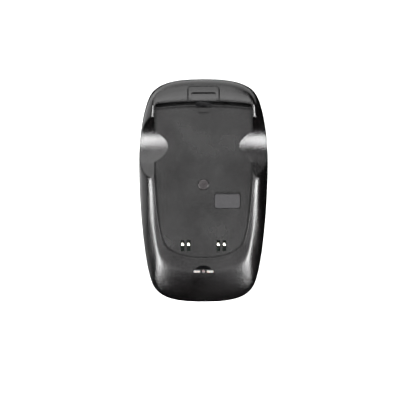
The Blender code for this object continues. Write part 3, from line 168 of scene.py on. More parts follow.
def pocket_point(u, top_y=POCKET_TOP_Y):
    """Right half of the pocket's outline; top_y is where its arched upper edge peaks."""
    radius = POCKET_CORNER_RADIUS
    corner_y = top_y - POCKET_ARCH - radius
    arch_end_x = POCKET_HALF_WIDTH - radius
    toe_angle = math.radians(-112)
    lower = POCKET_BEND_Y - POCKET_TOE_CORNER[1]
    if u < 1 - CORNER_SPAN:
        x = arch_end_x * u / (1 - CORNER_SPAN)
        return Vector((x, top_y - POCKET_ARCH * (x / arch_end_x) ** 2))
    if u < 1 + CORNER_SPAN:
        angle = QUARTER * (1 + CORNER_SPAN - u) / (2 * CORNER_SPAN)
        return Vector((arch_end_x + radius * math.cos(angle), corner_y + radius * math.sin(angle)))
    if u < 2:
        share = (u - 1 - CORNER_SPAN) / (1 - CORNER_SPAN)
        return Vector((POCKET_HALF_WIDTH, corner_y + (POCKET_BEND_Y - corner_y) * share))
    if u < 3:
        return bezier((POCKET_HALF_WIDTH, POCKET_BEND_Y), -QUARTER, 0.24 * lower,
                      POCKET_TOE_CORNER, toe_angle, 0.21 * lower, u - 2)
    return bezier(POCKET_TOE_CORNER, toe_angle, 0.29 * POCKET_TOE_CORNER[0],
                  (0, POCKET_TOE_Y), -2 * QUARTER, 0.54 * POCKET_TOE_CORNER[0], u - 3)


def stations(fineness):
    """Places along the half outline, closest where the scoops and tight corners are."""
    marks = ((0, 1 - CORNER_SPAN, 20), (1 - CORNER_SPAN, 1 + CORNER_SPAN, 20),
             (1 + CORNER_SPAN, 2, 66), (2, 3, 40), (3, 4, 40))
    values = []
    for start, end, count in marks:
        steps = max(2, round(count * fineness))
        values += [start + (end - start) * i / steps for i in range(steps)]
    return values + [4.0]


def whole_outline(point_at, fineness=1.0):
    right = [point_at(u) for u in stations(fineness)]
    left = [Vector((-p.x, p.y)) for p in reversed(right[1:-1])]
    return right + left


def moved_in(ring, distance):
    """The ring moved inwards by distance, or outwards where it is negative."""
    count = len(ring)
    moved = []
    for i, point in enumerate(ring):
        along = (ring[(i + 1) % count] - ring[i - 1]).normalized()
        moved.append(point + distance * Vector((along.y, -along.x)))
    return moved


def at_height(ring, z):
    return [Vector((p.x, p.y, z)) for p in ring]


def arc(centre, radius, start, turn, steps):
    """Points on an arc about centre, from the start angle through turn."""
    angles = [start + turn * i / steps for i in range(steps + 1)]
    return [Vector((centre[0] + radius * math.cos(a), centre[1] + radius * math.sin(a)))
            for a in angles]


def rounded_box(size_x, size_y, radius, centre, steps=8):
    """A rounded rectangle about centre, anticlockwise."""
    points = []
    for turn, (sx, sy) in enumerate(((1, 1), (-1, 1), (-1, -1), (1, -1))):
        corner = (centre[0] + sx * (size_x / 2 - radius), centre[1] + sy * (size_y / 2 - radius))
        points += arc(corner, radius, QUARTER * turn, QUARTER, steps)
    return points


def node_outline(node, radius, extra=0.0, steps=8):
    """A rounded rectangle round a CAD node, moved out by extra."""
    low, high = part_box(node)
    return rounded_box(high.x - low.x + 2 * extra, high.y - low.y + 2 * extra,
                       radius + extra, middle(node), steps)


def shoulder(radius, z, out, up, steps):
    """A quarter ellipse of (radius, z) about a centre, from its top round to its side."""
    angles = [QUARTER * i / steps for i in range(steps + 1)]
    return [(radius + out * math.sin(a), z + up * math.cos(a)) for a in angles]


# ---- heights


def smooth_step(share):
    share = min(max(share, 0.0), 1.0)
    return share * share * (3 - 2 * share)


def wall_top(y):
    """Height of the pocket wall: rim at the latch end, rails, then level with the plate."""
    scoop_half = SCOOP_RADIUS * 0.72
    fall_start = SCOOP_Y - scoop_half
    fall_end = POCKET_TOE_Y + 5.0 * MM
    if y < fall_start:
        share = smooth_step((y - fall_end) / (fall_start - fall_end))
        return PLATE_TOP + (RAIL_Z - PLATE_TOP) * share
    rise = (y - SCOOP_Y - scoop_half) / (POCKET_TOP_Y - SCOOP_Y - scoop_half)
    return RAIL_Z + (RIM_Z - RAIL_Z) * smooth_step(rise)


def scoop_height(x, y):
    """Height of the scooped surface over a point, or far above where no scoop reaches."""
    across = abs(y - SCOOP_Y)
    if across >= SCOOP_RADIUS:
        return 1.0
    out = abs(x) - SCOOP_TIP_X
    lift = (SCOOP_RADIUS - math.sqrt(SCOOP_RADIUS ** 2 - across ** 2)) / math.cos(SCOOP_LEAN)
    return PLATE_TOP - out * math.tan(SCOOP_LEAN) + lift


def scoop_edge_x(y):
    """How far from the middle the scoop meets the pocket plate at this y."""
    across = min(abs(y - SCOOP_Y), SCOOP_RADIUS)
    drop = SCOOP_RADIUS - math.sqrt(SCOOP_RADIUS ** 2 - across ** 2)
    return SCOOP_TIP_X + drop / math.sin(SCOOP_LEAN)


def rounded_min(a, b, width):
    """The lower of two heights, with the corner between them rounded over."""
    near = max(width - abs(a - b), 0.0) / width
    return min(a, b) - near * near * width / 4


# ---- mesh tools


def new_object(name, data):
    obj = bpy.data.objects.new(name, data)
    bpy.context.scene.collection.objects.link(obj)
    return obj


def mesh_object(name, bm):
    bmesh.ops.recalc_face_normals(bm, faces=bm.faces)
    mesh = bpy.data.meshes.new(name)
    bm.to_mesh(mesh)
    bm.free()
    return new_object(name, mesh)


def lofted(name, rings, ends="caps"):
    """A solid through rings of equal length; ends are caps, or join for a ring-shaped solid."""
    bm = bmesh.new()
    loops = [[bm.verts.new(point) for point in ring] for ring in rings]
    pairs = list(zip(loops, loops[1:]))
    if ends == "join":
        pairs.append((loops[-1], loops[0]))
    else:
        bm.faces.new(loops[0])
        bm.faces.new(loops[-1])
    count = len(loops[0])
    for lower, upper in pairs:
        for i in range(count):
            j = (i + 1) % count
            bm.faces.new((lower[i], lower[j], upper[j], upper[i]))
    return mesh_object(name, bm)


def prism(name, outline, low, high):
    """A flat outline in XY, thickened from low to high."""
    return lofted(name, [at_height(outline, low), at_height(outline, high)])


def block(name, low, high):
    corners = [(low[0], low[1]), (high[0], low[1]), (high[0], high[1]), (low[0], high[1])]
    return prism(name, [Vector(c) for c in corners], low[2], high[2])


def rod(name, start, end, radius, segments=48):
    start = Vector(start)
    end = Vector(end)
    bm = bmesh.new()
    bmesh.ops.create_cone(bm, cap_ends=True, segments=segments, radius1=radius,
                          radius2=radius, depth=(end - start).length)
    turn = (end - start).to_track_quat("Z", "Y").to_matrix().to_4x4()
    bmesh.ops.transform(bm, matrix=Matrix.Translation((start + end) / 2) @ turn, verts=bm.verts)
    return mesh_object(name, bm)


def turned(name, profile, place, segments=64):
    """A closed profile of (radius, z) turned about Z through place; it starts and ends at radius 0."""
    bm = bmesh.new()
    rings = []
    for radius, z in profile:
        if radius == 0:
            rings.append([bm.verts.new((place[0], place[1], z))])
            continue
        rings.append([
            bm.verts.new((place[0] + radius * math.cos(4 * QUARTER * i / segments),
                          place[1] + radius * math.sin(4 * QUARTER * i / segments), z))
            for i in range(segments)
        ])
    for lower, upper in zip(rings, rings[1:]):
        for i in range(segments):
            j = (i + 1) % segments
            corners = [lower[i % len(lower)], lower[j % len(lower)],
                       upper[j % len(upper)], upper[i % len(upper)]]
            bm.faces.new(list(dict.fromkeys(corners)))
    return mesh_object(name, bm)


def slope_cutter(name, low, high, rear_y, top_z, fall):
    """Cuts a top into a slope that falls from rear_y towards the toe, across a whole box."""
    toe_y = low.y - PAST
    side = [(rear_y, top_z), (toe_y, top_z - fall), (toe_y, top_z + PAST), (rear_y, top_z + PAST)]
    return lofted(name, [[Vector((x, y, z)) for y, z in side]
                         for x in (low.x - PAST, high.x + PAST)])


def apply_modifiers(obj):
    """Turns the modifiers' result into the object's own mesh."""
    bpy.context.view_layer.update()
    depsgraph = bpy.context.evaluated_depsgraph_get()
    mesh = bpy.data.meshes.new_from_object(obj.evaluated_get(depsgraph))
    obj.modifiers.clear()
    obj.data = mesh
    return obj


def combine(obj, operation, *others):
    """Combines the object with the others one by one, and removes them."""
    for other in others:
        boolean = obj.modifiers.new(operation.lower(), "BOOLEAN")
        boolean.operation = operation
        boolean.object = other
        boolean.solver = "EXACT"
        apply_modifiers(obj)
        bpy.data.objects.remove(other, do_unlink=True)
    return obj


def cut(obj, *others):
    """Cuts the others from the object."""
    return combine(obj, "DIFFERENCE", *others)


def unite(obj, *others):
    return combine(obj, "UNION", *others)


def soften(obj, width, segments=3, angle=35):
    """Rounds the sharp edges over."""
    bevel = obj.modifiers.new("soft_edges", "BEVEL")
    bevel.width = width
    bevel.segments = segments
    bevel.limit_method = "ANGLE"
    bevel.angle_limit = math.radians(angle)
    bevel.harden_normals = False
    return apply_modifiers(obj)


def finished(obj, material, body, slot, *nodes, smooth_angle=35):
    """Shades a piece, gives it its material and ties it to the frame."""
    obj.data.shade_smooth()
    obj.data.set_sharp_from_angle(angle=math.radians(smooth_angle))
    weighted = obj.modifiers.new("flat_faces_stay_flat", "WEIGHTED_NORMAL")
    weighted.keep_sharp = True
    apply_modifiers(obj)
    obj.data.materials.clear()
    obj.data.materials.append(material)
    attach(obj, body)
    if nodes:
        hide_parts(*nodes)
    return obj


def repaint(nodes, material):
    """Gives CAD nodes a better material."""
    for node in nodes:
        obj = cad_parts[node]
        obj.data.materials.clear()
        obj.data.materials.append(material)


# ---- materials


def colour(code):
    """An sRGB hex value as linear light."""
    channels = []
    for i in (0, 2, 4):
        value = int(code[i:i + 2], 16) / 255
        channels.append(value / 12.92 if value <= 0.04045 else ((value + 0.055) / 1.055) ** 2.4)
    return (*channels, 1.0)


def add(material, kind, settings=(), links=()):
    """Adds one shader node, sets its properties and sockets, and links its inputs."""
    node = material.node_tree.nodes.new(kind)
    for key, value in dict(settings).items():
        if isinstance(key, str) and hasattr(node, key):
            setattr(node, key, value)
        else:
            node.inputs[key].default_value = value
    for key, source in dict(links).items():
        material.node_tree.links.new(source, node.inputs[key])
    return node


def new_material(name, base, roughness, metallic=0.0, **sockets):
    """A Principled material; sockets are set on the shader by their names with spaces."""
    material = bpy.data.materials.new(name)
    material.use_nodes = True
    shader = material.node_tree.nodes["Principled BSDF"]
    shader.inputs["Base Color"].default_value = colour(base)
    shader.inputs["Roughness"].default_value = roughness
    shader.inputs["Metallic"].default_value = metallic
    for key, value in sockets.items():
        shader.inputs[key.replace("_", " ")].default_value = value
    return material, shader


def link(material, source, shader, socket):
    material.node_tree.links.new(source, shader.inputs[socket])


def grain(material, size, detail=2.0, stretch=(1, 1, 1)):
    """Noise with features of about the given size in metres."""
    place = add(material, "ShaderNodeTexCoord")
    scaled = add(material, "ShaderNodeMapping", {"Scale": stretch},
                 {"Vector": place.outputs["Object"]})
    return add(material, "ShaderNodeTexNoise", {"Scale": 1 / size, "Detail": detail},
               {"Vector": scaled.outputs["Vector"]})


def ramp(material, source, low, high, from_low=0.3, from_high=0.7):
    """Maps a value onto the range low to high."""
    return add(material, "ShaderNodeMapRange",
               {1: from_low, 2: from_high, 3: low, 4: high}, {0: source}).outputs["Result"]


def vary_colour(material, shader, factor, first, second):
    """Blends the shader's colour between two hex values."""
    node = add(material, "ShaderNodeMix", {"data_type": "RGBA"})
    node.inputs[6].default_value = colour(first)
    node.inputs[7].default_value = colour(second)
    material.node_tree.links.new(factor, node.inputs[0])
    link(material, node.outputs[2], shader, "Base Color")


def vary_roughness(material, shader, source, low, high):
    """Lets a noise move the shader's roughness between low and high."""
    link(material, ramp(material, source.outputs["Fac"], low, high), shader, "Roughness")


def bumps(material, shader, height, distance, strength=1.0, under=None):
    """Sends a height into the shader's normal, over any bump that is already there."""
    links = {"Height": height}
    if under is not None:
        links["Normal"] = under
    node = add(material, "ShaderNodeBump", {"Distance": distance, "Strength": strength}, links)
    link(material, node.outputs["Normal"], shader, "Normal")
    return node.outputs["Normal"]


def moulded_abs(name, base, speck, roughness, grain_height):
    """ABS moulded in a spark-eroded tool: a fine matt grain that breaks highlights into specks.

    The real grain is about 0.15 mm; it is drawn at 0.7 mm so that it still shows.
    """
    material, shader = new_material(name, base, roughness, IOR=1.52)
    fine = grain(material, 0.7 * MM, detail=2.0)
    pits = add(material, "ShaderNodeTexVoronoi", {"Scale": 1 / (0.6 * MM)},
               {"Vector": material.node_tree.nodes["Mapping"].outputs["Vector"]})
    cloud = grain(material, 18 * MM, detail=3.0)
    specks = ramp(material, fine.outputs["Fac"], 0.0, 1.0, 0.5, 0.75)
    vary_colour(material, shader, specks, base, speck)
    vary_roughness(material, shader, cloud, roughness - 0.05, roughness + 0.05)
    first = bumps(material, shader, fine.outputs["Fac"], grain_height)
    bumps(material, shader, pits.outputs["Distance"], grain_height * 0.6, 0.6, first)
    return material


def smooth_abs(name, base, roughness):
    """ABS moulded in a polished tool: a clear sheen with faint handling marks."""
    material, shader = new_material(name, base, roughness, IOR=1.52)
    marks = grain(material, 3 * MM, detail=6.0, stretch=(1, 4, 1))
    vary_roughness(material, shader, marks, roughness - 0.05, roughness + 0.12)
    bumps(material, shader, marks.outputs["Fac"], 0.01 * MM, 0.4)
    return material


def silicone_rubber(name, base):
    """Moulded rubber: very matt, slightly dusty, with a soft sheen at grazing angles."""
    material, shader = new_material(name, base, 0.7, IOR=1.43, Sheen_Weight=0.12)
    dust = grain(material, 0.8 * MM, detail=5.0)
    vary_colour(material, shader, ramp(material, dust.outputs["Fac"], 0, 0.5), base, "2A292B")
    bumps(material, shader, dust.outputs["Fac"], 0.03 * MM, 0.6)
    return material


def plated_metal(name, base, roughness, grain_size=0.3 * MM, stretch=(1, 1, 1)):
    """Plated metal: bright, with fine drawing lines and slightly uneven polish."""
    material, shader = new_material(name, base, roughness, 1.0)
    lines = grain(material, grain_size, detail=4.0, stretch=stretch)
    vary_roughness(material, shader, lines, roughness * 0.7, roughness * 1.5)
    bumps(material, shader, lines.outputs["Fac"], 0.004 * MM, 0.5)
    return material


def clear_acrylic(name, base, glow):
    """Milky acrylic light guide: bright, slightly see-through, smooth on top."""
    material, shader = new_material(name, base, 0.22, IOR=1.49, Transmission_Weight=0.15,
                                    Subsurface_Weight=0.3, Subsurface_Scale=0.6 * MM)
    shader.inputs["Emission Color"].default_value = colour(base)
    shader.inputs["Emission Strength"].default_value = glow
    haze = grain(material, 0.6 * MM, detail=3.0)
    vary_roughness(material, shader, haze, 0.15, 0.35)
    return material


def solder_mask(name):
    """Glass-epoxy board under dark green solder mask, with copper tracks faintly raised. The mask colour
    is darkened nearly to black as painted shade, so the contact slots above the board look dark.
    """
    # painted shade: the mask colour is kept near black so the board seen through the contact slots reads
    # as shade
    mask = "0A1A12"
    material, shader = new_material(name, mask, 0.35, IOR=1.55)
    place = add(material, "ShaderNodeTexCoord")
    tracks = add(material, "ShaderNodeTexBrick",
                 {"Scale": 1 / (6 * MM), "Mortar Size": 0.04, "Color1": (0, 0, 0, 1),
                  "Color2": (0, 0, 0, 1), "Mortar": (1, 1, 1, 1)},
                 {"Vector": place.outputs["Object"]})
    vary_colour(material, shader, tracks.outputs["Color"], mask, "12301F")
    bumps(material, shader, tracks.outputs["Color"], 0.03 * MM, 0.5)
    return material


def label_film(name):
    """Blank polyester label film: silver grey, satin, with a faint orange peel."""
    material, shader = new_material(name, "8C8E90", 0.4, IOR=1.5)
    peel = grain(material, 0.7 * MM, detail=2.0)
    vary_roughness(material, shader, peel, 0.34, 0.46)
    bumps(material, shader, peel.outputs["Fac"], 0.01 * MM, 0.5)
    return material


def painted_floor(name, base):
    """A plain pale table top: matt paint with the slightest unevenness."""
    material, shader = new_material(name, base, 0.8)
    uneven = grain(material, 30 * MM, detail=3.0)
    vary_colour(material, shader, ramp(material, uneven.outputs["Fac"], 0, 1), base, "FBFBFB")
    return material


# ---- top housing


CROWN_STEPS = 26
TOE_FLAT = 0.28             # share of the toe's width that stays level
TOE_FALL = 0.88             # share of its height that it falls before its rounded edge
EDGE = 0.25 * MM            # rounding of the pocket wall's top edge
SCOOP_ROUND = 0.8 * MM      # rounding where the scoops break through the rails
SCOOP_SHELL = 1.7 * MM      # housing left under the scoops


def crown_profile(out, width):
    """Share of the crown's height at a share of its width: rounder where it is narrow."""
    round_share = math.sqrt(1 - out ** 2)
    slope = 1 - TOE_FALL * (max(out - TOE_FLAT, 0.0) / (1 - TOE_FLAT)) ** 1.3
    edge = math.sqrt(1 - out ** 20)
    blend = smooth_step((width - 13 * MM) / (9 * MM))
    return round_share + (slope * edge - round_share) * blend


def crown(outer, inner, base_z, steps, drop=0.0):
    """Rings that rise from outer over the crown to inner, drop below the finished surface."""
    rings = []
    for step in range(steps + 1):
        out = math.cos(QUARTER * step / steps)
        ring = []
        for p, q in zip(outer, inner):
            spot = q + (p - q) * out
            height = wall_top(spot.y) - drop - base_z
            ring.append(Vector((*spot, base_z + height * crown_profile(out, (p - q).length))))
        rings.append(ring)
    return rings


def outer_rings(body, pocket, base_z):
    """Rings over the crown, round the wall's top edge and onto the pocket wall."""
    outer = moved_in(pocket, -EDGE)
    rings = crown(body, outer, base_z, CROWN_STEPS)
    for step in range(1, 5):
        angle = QUARTER * step / 4
        drop = EDGE * (1 - math.cos(angle))
        rings.append([Vector((*(o + (q - o) * math.sin(angle)), wall_top(q.y) - drop))
                      for o, q in zip(outer, pocket)])
    return rings


def scooped(rings):
    """The rings with the finger scoops pressed into them."""
    return [
        [Vector((p.x, p.y, rounded_min(p.z, scoop_height(p.x, p.y), SCOOP_ROUND))) for p in ring]
        for ring in rings
    ]


def pocket_wall_rings(last, pocket, steps=9):
    """From the wall's top down to plate level, or in a scoop, inwards along it to the plate."""
    rings = []
    for step in range(1, steps + 1):
        share = step / steps
        ring = []
        for start, q in zip(last, pocket):
            edge_x = scoop_edge_x(q.y)
            if scoop_height(q.x, q.y) < PLATE_TOP and abs(q.y - SCOOP_Y) < SCOOP_RADIUS:
                side = math.copysign(1, q.x)
                x = side * (abs(q.x) + (edge_x - abs(q.x)) * share)
                z = min(scoop_height(x, q.y), PLATE_TOP) - 0.06 * MM * share
                ring.append(Vector((x, q.y, z)))
            else:
                low = min(PLATE_TOP - 0.06 * MM, start.z - 0.3 * MM)
                ring.append(Vector((q.x, q.y, start.z + (low - start.z) * share)))
        rings.append(ring)
    return rings


def shell_solid(name):
    """The top housing as one thin-walled ring, scoops included, open at the pocket floor."""
    body = whole_outline(body_point)
    pocket = whole_outline(pocket_point)
    lip = 0.18 * MM
    rings = [at_height(moved_in(body, lip), PARTING_Z),
             at_height(moved_in(body, lip * 0.3), PARTING_Z + lip * 0.3)]
    rings = scooped(rings + outer_rings(body, pocket, PARTING_Z + lip))
    rings += pocket_wall_rings(rings[-1], pocket)
    foot = [Vector((p.x, p.y)) for p in rings[-1]]
    rings.append([Vector((p.x, p.y, p.z - 0.3 * MM)) for p in rings[-1]])
    rings.append(at_height(foot, DECK_BOTTOM))
    behind = moved_in(pocket, -WALL)
    inner = crown(moved_in(body, WALL), behind, PARTING_Z + 0.3 * MM, 12, drop=WALL)
    rings.append(at_height(behind, DECK_BOTTOM))
    for ring in reversed(inner):
        rings.append([
            Vector((p.x, p.y, min(p.z, scoop_height(p.x, p.y) - SCOOP_SHELL))) for p in ring
        ])
    rings.append(at_height(moved_in(body, WALL), PARTING_Z))
    return lofted(name, rings, ends="join")


def pocket_deck():
    """The floor that the pocket plate lies on, with the windows for what stands under it."""
    outline = whole_outline(lambda u: pocket_point(u, POCKET_TOP_Y - TROUGH - 0.8 * MM), 0.5)
    deck = prism("pocket_deck", moved_in(outline, -0.6 * MM), DECK_BOTTOM + 0.05 * MM, DECK_TOP)
    low = DECK_BOTTOM - PAST
    high = DECK_TOP + PAST
    for side in (-1, 1):
        block_low, block_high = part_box("contact_block_right" if side > 0 else "contact_block_left")
        hole = block("contact_window", (block_low.x - FIT_GAP, CONTACT_Y - 3.1 * MM, low),
                     (block_high.x + FIT_GAP, block_high.y + FIT_GAP, high))
        cut(deck, hole)
    post = rod("post_window", (0, CAP_Y, low), (0, CAP_Y, high), 4.9 * MM)
    return cut(deck, post)


def wall_ledge():
    """The thin ledge along the upper pocket wall, with its trough behind."""
    width = 0.7 * MM
    arch = [pocket_point(u / 24) for u in range(int(24 * (1 - CORNER_SPAN)) + 1)]
    right = [Vector((p.x, p.y - TROUGH)) for p in arch]
    end = Vector((POCKET_HALF_WIDTH + WALL / 2, right[-1].y))
    rear = [Vector((-p.x, p.y)) for p in reversed(right[1:])] + right
    rear = [Vector((-end.x, end.y))] + rear + [end]
    front = [Vector((p.x, p.y - width)) for p in reversed(rear)]
    ledge = prism("wall_ledge", rear + front, DECK_TOP - 0.4 * MM, PLATE_TOP - 0.25 * MM)
    return soften(ledge, 0.12 * MM, 2)


def button_outline(extra, front_extra=0.0):
    """The release button's outline, with rounded rear corners."""
    low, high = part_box("release_button")
    half = (high.x - low.x) / 2 - MM + extra
    rear = high.y + extra
    radius = 1.4 * MM + extra
    front = low.y - front_extra
    points = [Vector((-half, front)), Vector((half, front))]
    for turn, sx in enumerate((1, -1)):
        points += arc((sx * (half - radius), rear - radius), radius, QUARTER * turn, QUARTER, 8)
    return points


def window_outline(extra):
    """The status window: a low circular segment above the lamps."""
    low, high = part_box("status_window")
    half = (high.x - low.x) / 2 + extra
    rise = high.y - low.y + 2 * extra
    radius = (half ** 2 + rise ** 2) / (2 * rise)
    reach = math.asin(half / radius)
    return arc((0, low.y - extra + rise - radius), radius, QUARTER - reach, 2 * reach, 24)


def lamp_outline(side, extra):
    node = "lamp_bar_right" if side > 0 else "lamp_bar_left"
    return node_outline(node, 0.35 * MM, extra, 5)


def build_top_housing(material):
    housing = shell_solid("top_shell")
    unite(housing, pocket_deck(), wall_ledge())
    lamp_gap = 0.15 * MM
    top = PLATE_TOP + PAST
    button_low = span("release_button", 2)[1] - 3.5 * MM
    opening = prism("button_opening", button_outline(BUTTON_GAP, 2 * MM), button_low, RIM_Z + PAST)
    nose_half = NOSE_HALF_WIDTH + FIT_GAP
    nose = block("nose_opening", (-nose_half, POCKET_TOP_Y - PAST, NOSE_LOW - FIT_GAP),
                 (nose_half, POCKET_TOP_Y + WALL + PAST, button_low + PAST))
    window = prism("window_hole", window_outline(lamp_gap), DECK_BOTTOM, top)
    lamp = rod("lamp_hole", (0, LAMP_Y, DECK_BOTTOM), (0, LAMP_Y, top), LAMP_HOLE_RADIUS)
    bars = [prism("bar_hole", lamp_outline(side, lamp_gap), DECK_BOTTOM, top) for side in (-1, 1)]
    cut(housing, opening, nose, window, lamp, *bars)
    return finished(housing, material, "cradle", "textured_black", "top_housing", smooth_angle=40)


# ---- base housing


def bowl_rings(body, inset, low, high, steps):
    """Rings of the base's bowl, from its underside up to its rim."""
    tuck_in = 2.5 * MM
    tuck_up = 4.0 * MM
    rings = []
    for step in range(steps + 1):
        angle = QUARTER * step / steps
        ring = moved_in(body, inset + tuck_in * (1 - math.sin(angle)))
        rings.append(at_height(ring, low + tuck_up * (1 - math.cos(angle))))
    rings.append(at_height(moved_in(body, inset), high - 0.15 * MM))
    return rings


def build_base_housing(material):
    body = whole_outline(body_point, 0.6)
    rings = bowl_rings(body, 0, UNDERSIDE_Z, BASE_HIGH, 10)
    rings.append(at_height(moved_in(body, 0.15 * MM), BASE_HIGH))
    rings.append(at_height(moved_in(body, WALL), BASE_HIGH))
    rings += reversed(bowl_rings(body, WALL, UNDERSIDE_Z + WALL, BASE_HIGH, 5)[:-1])
    base = lofted("base_shell", rings)
    for i in range(1, 5):
        x, y = middle(f"rubber_foot_{i}")
        top = span(f"rubber_foot_{i}", 2)[1] + FIT_GAP
        recess = rod("foot_recess", (x, y, 0), (x, y, top), FOOT_RECESS_RADIUS, 64)
        x, y = middle(f"housing_screw_{i}")
        boss = rod("screw_boss", (x, y, UNDERSIDE_Z + PAST), (x, y, PARTING_Z), BOSS_RADIUS)
        unite(base, boss)
        radius, top = SCREW_RECESS
        sunk = rod("screw_recess", (x, y, 0), (x, y, top), radius)
        cut(base, recess, sunk)
    label = prism("label_recess", label_outline(FIT_GAP), 0, UNDERSIDE_Z + 0.6 * MM)
    cut(base, label)
    low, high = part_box("dc_inlet")
    axis_z = (low.z + high.z) / 2
    inlet = rod("inlet_hole", (0, high.y - 6 * MM, axis_z), (0, HALF_LENGTH + MM, axis_z), 2.7 * MM)
    cut(base, inlet)
    return finished(base, material, "cradle", "textured_black", "base_housing")


def label_outline(extra):
    return node_outline("rating_plate", 1.5 * MM, extra)


# ---- pocket plate


def notch_outline(side, gap):
    """The part of the plate that one scoop takes away."""
    reach = 9.5 * MM
    points = []
    for i in range(49):
        y = SCOOP_Y - reach + 2 * reach * i / 48
        points.append(Vector((side * (scoop_edge_x(y) - gap), y)))
    out = side * (POCKET_HALF_WIDTH + 3 * MM)
    return points + [Vector((out, SCOOP_Y + reach)), Vector((out, SCOOP_Y - reach))]


def build_pocket_plate(material):
    top_y = span("pocket_plate", 1)[1] + SEAM
    low = PLATE_BOTTOM - PAST
    high = PLATE_TOP + PAST
    gap = 1.0 * MM
    outline = moved_in(whole_outline(lambda u: pocket_point(u, top_y), 0.6), gap)
    plate = prism("floor_plate", outline, PLATE_BOTTOM, PLATE_TOP)
    for side in (-1, 1):
        notch = anticlockwise(notch_outline(side, 0.12 * MM))
        cut(plate, prism("notch", notch, low, high))
    cover_low, cover_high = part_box("service_cover")
    centre_x, centre_y = middle("service_cover")
    size = cover_high - cover_low
    finger_gap = 0.9 * MM
    mouth = (centre_x, centre_y + finger_gap / 2)
    cover = prism("cover_hole", rounded_box(size.x + 0.6 * MM, size.y + 0.6 * MM + finger_gap,
                                            1.5 * MM, mouth), low, high)
    cap = rod("cap_hole", (0, CAP_Y, low + 1.2 * MM), (0, CAP_Y, high), CAP_RADIUS + FIT_GAP, 64)
    cut(plate, cover, cap)
    half_x, half_y = SLOT_HALF
    for x in CONTACT_XS:
        slot = block("slot", (x - half_x, CONTACT_Y - half_y, low),
                     (x + half_x, CONTACT_Y + half_y, high))
        cut(plate, slot)
    lug_place = (0, POCKET_TOP_Y - 4.6 * MM)
    lug = prism("locating_lug", rounded_box(5 * MM, 2 * MM, 0.4 * MM, lug_place, 4),
                PLATE_TOP - MM, PLATE_TOP + 0.8 * MM)
    groove = block("lug_groove", (-2.8 * MM, lug_place[1] - 1.9 * MM, PLATE_TOP - 1.4 * MM),
                   (2.8 * MM, lug_place[1] - MM, high))
    unite(plate, lug)
    cut(plate, groove)
    soften(plate, 0.18 * MM, 2, 40)
    return finished(plate, material, "cradle", "textured_black", "pocket_plate", smooth_angle=30)


def anticlockwise(outline):
    """The outline, turned round where it runs clockwise."""
    area = sum(a.x * b.y - b.x * a.y for a, b in zip(outline, outline[1:] + outline[:1]))
    return outline if area > 0 else outline[::-1]


def build_screw_cap(material):
    low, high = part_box("screw_cap")
    edge = 0.25 * MM
    profile = [(0, high.z)] + shoulder(CAP_RADIUS - edge, high.z - edge, edge, edge, 4)
    profile += [(CAP_RADIUS, low.z), (0, low.z)]
    cap = turned("centre_cap", profile, (0, CAP_Y))
    return finished(cap, material, "cradle", "textured_black", "screw_cap")


def build_service_cover(material):
    low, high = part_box("service_cover")
    plug = prism("service_plug", node_outline("service_cover", 1.4 * MM), low.z, high.z)
    soften(plug, 0.4 * MM, 4, 40)
    return finished(plug, material, "cradle", "rubber", "service_cover")


# ---- latch


def crown_solid(name, drop=0.0, shift_y=0.0):
    """The body's outside as a full solid, which the button's faces are cut from."""
    body = whole_outline(body_point, 0.6)
    pocket = whole_outline(pocket_point, 0.6)
    rings = outer_rings(body, pocket, PARTING_Z)
    rings.append(at_height(pocket, DECK_TOP))
    solid = lofted(name, rings)
    solid.data.transform(Matrix.Translation((0, shift_y, -drop)))
    return solid


def build_release_button(material):
    low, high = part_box("release_button")
    thickness = 1.8 * MM
    pad_depth = 1.0 * MM
    leg_half = 0.6 * MM
    button = crown_solid("press_button")
    combine(button, "INTERSECT", prism("button_inside", button_outline(0), PARTING_Z, RIM_Z + MM))
    cut(button, crown_solid("button_underside", thickness, -MM))
    pad = prism("button_pad", rounded_box(13.4 * MM, 9.2 * MM, 0.9 * MM, (0, low.y)),
                PARTING_Z, RIM_Z + MM)
    cut(pad, crown_solid("pad_floor", pad_depth, -0.5 * MM))
    cut(button, pad)
    for side in (-1, 1):
        leg_x = side * 6.2 * MM
        leg = block("button_leg", (leg_x - leg_half, low.y + 3.7 * MM, low.z),
                    (leg_x + leg_half, low.y + 5.0 * MM, high.z - 2.0 * MM))
        unite(button, leg)
    soften(button, 0.3 * MM, 3, 45)
    return finished(button, material, "button", "textured_black", "release_button")


def build_latch_bolt(material):
    """The CAD bolt with a lead-in ramp on its nose and its edges broken."""
    bolt = new_object("hook_bolt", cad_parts["latch_bolt"].data.copy())
    bm = bmesh.new()
    bm.from_mesh(bolt.data)
    bmesh.ops.remove_doubles(bm, verts=bm.verts, dist=0.001 * MM)
    bmesh.ops.dissolve_limit(bm, angle_limit=math.radians(1), verts=bm.verts, edges=bm.edges)
    bm.to_mesh(bolt.data)
    bm.free()
    low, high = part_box("latch_bolt")
    lead_in = slope_cutter("lead_in", low, high, POCKET_TOP_Y, NOSE_TOP, 1.0 * MM)
    cut(bolt, lead_in)
    soften(bolt, 0.12 * MM, 2, 30)
    return finished(bolt, material, "latch", "smooth_black", "latch_bolt")


def build_latch_spring(material):
    """The coil spring behind the bolt, copied from the frame onto a mesh of its own."""
    spring = new_object("coil_spring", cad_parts["latch_spring"].data.copy())
    finished(spring, material, "cradle", "steel", "latch_spring")
    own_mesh(spring)


# ---- contacts


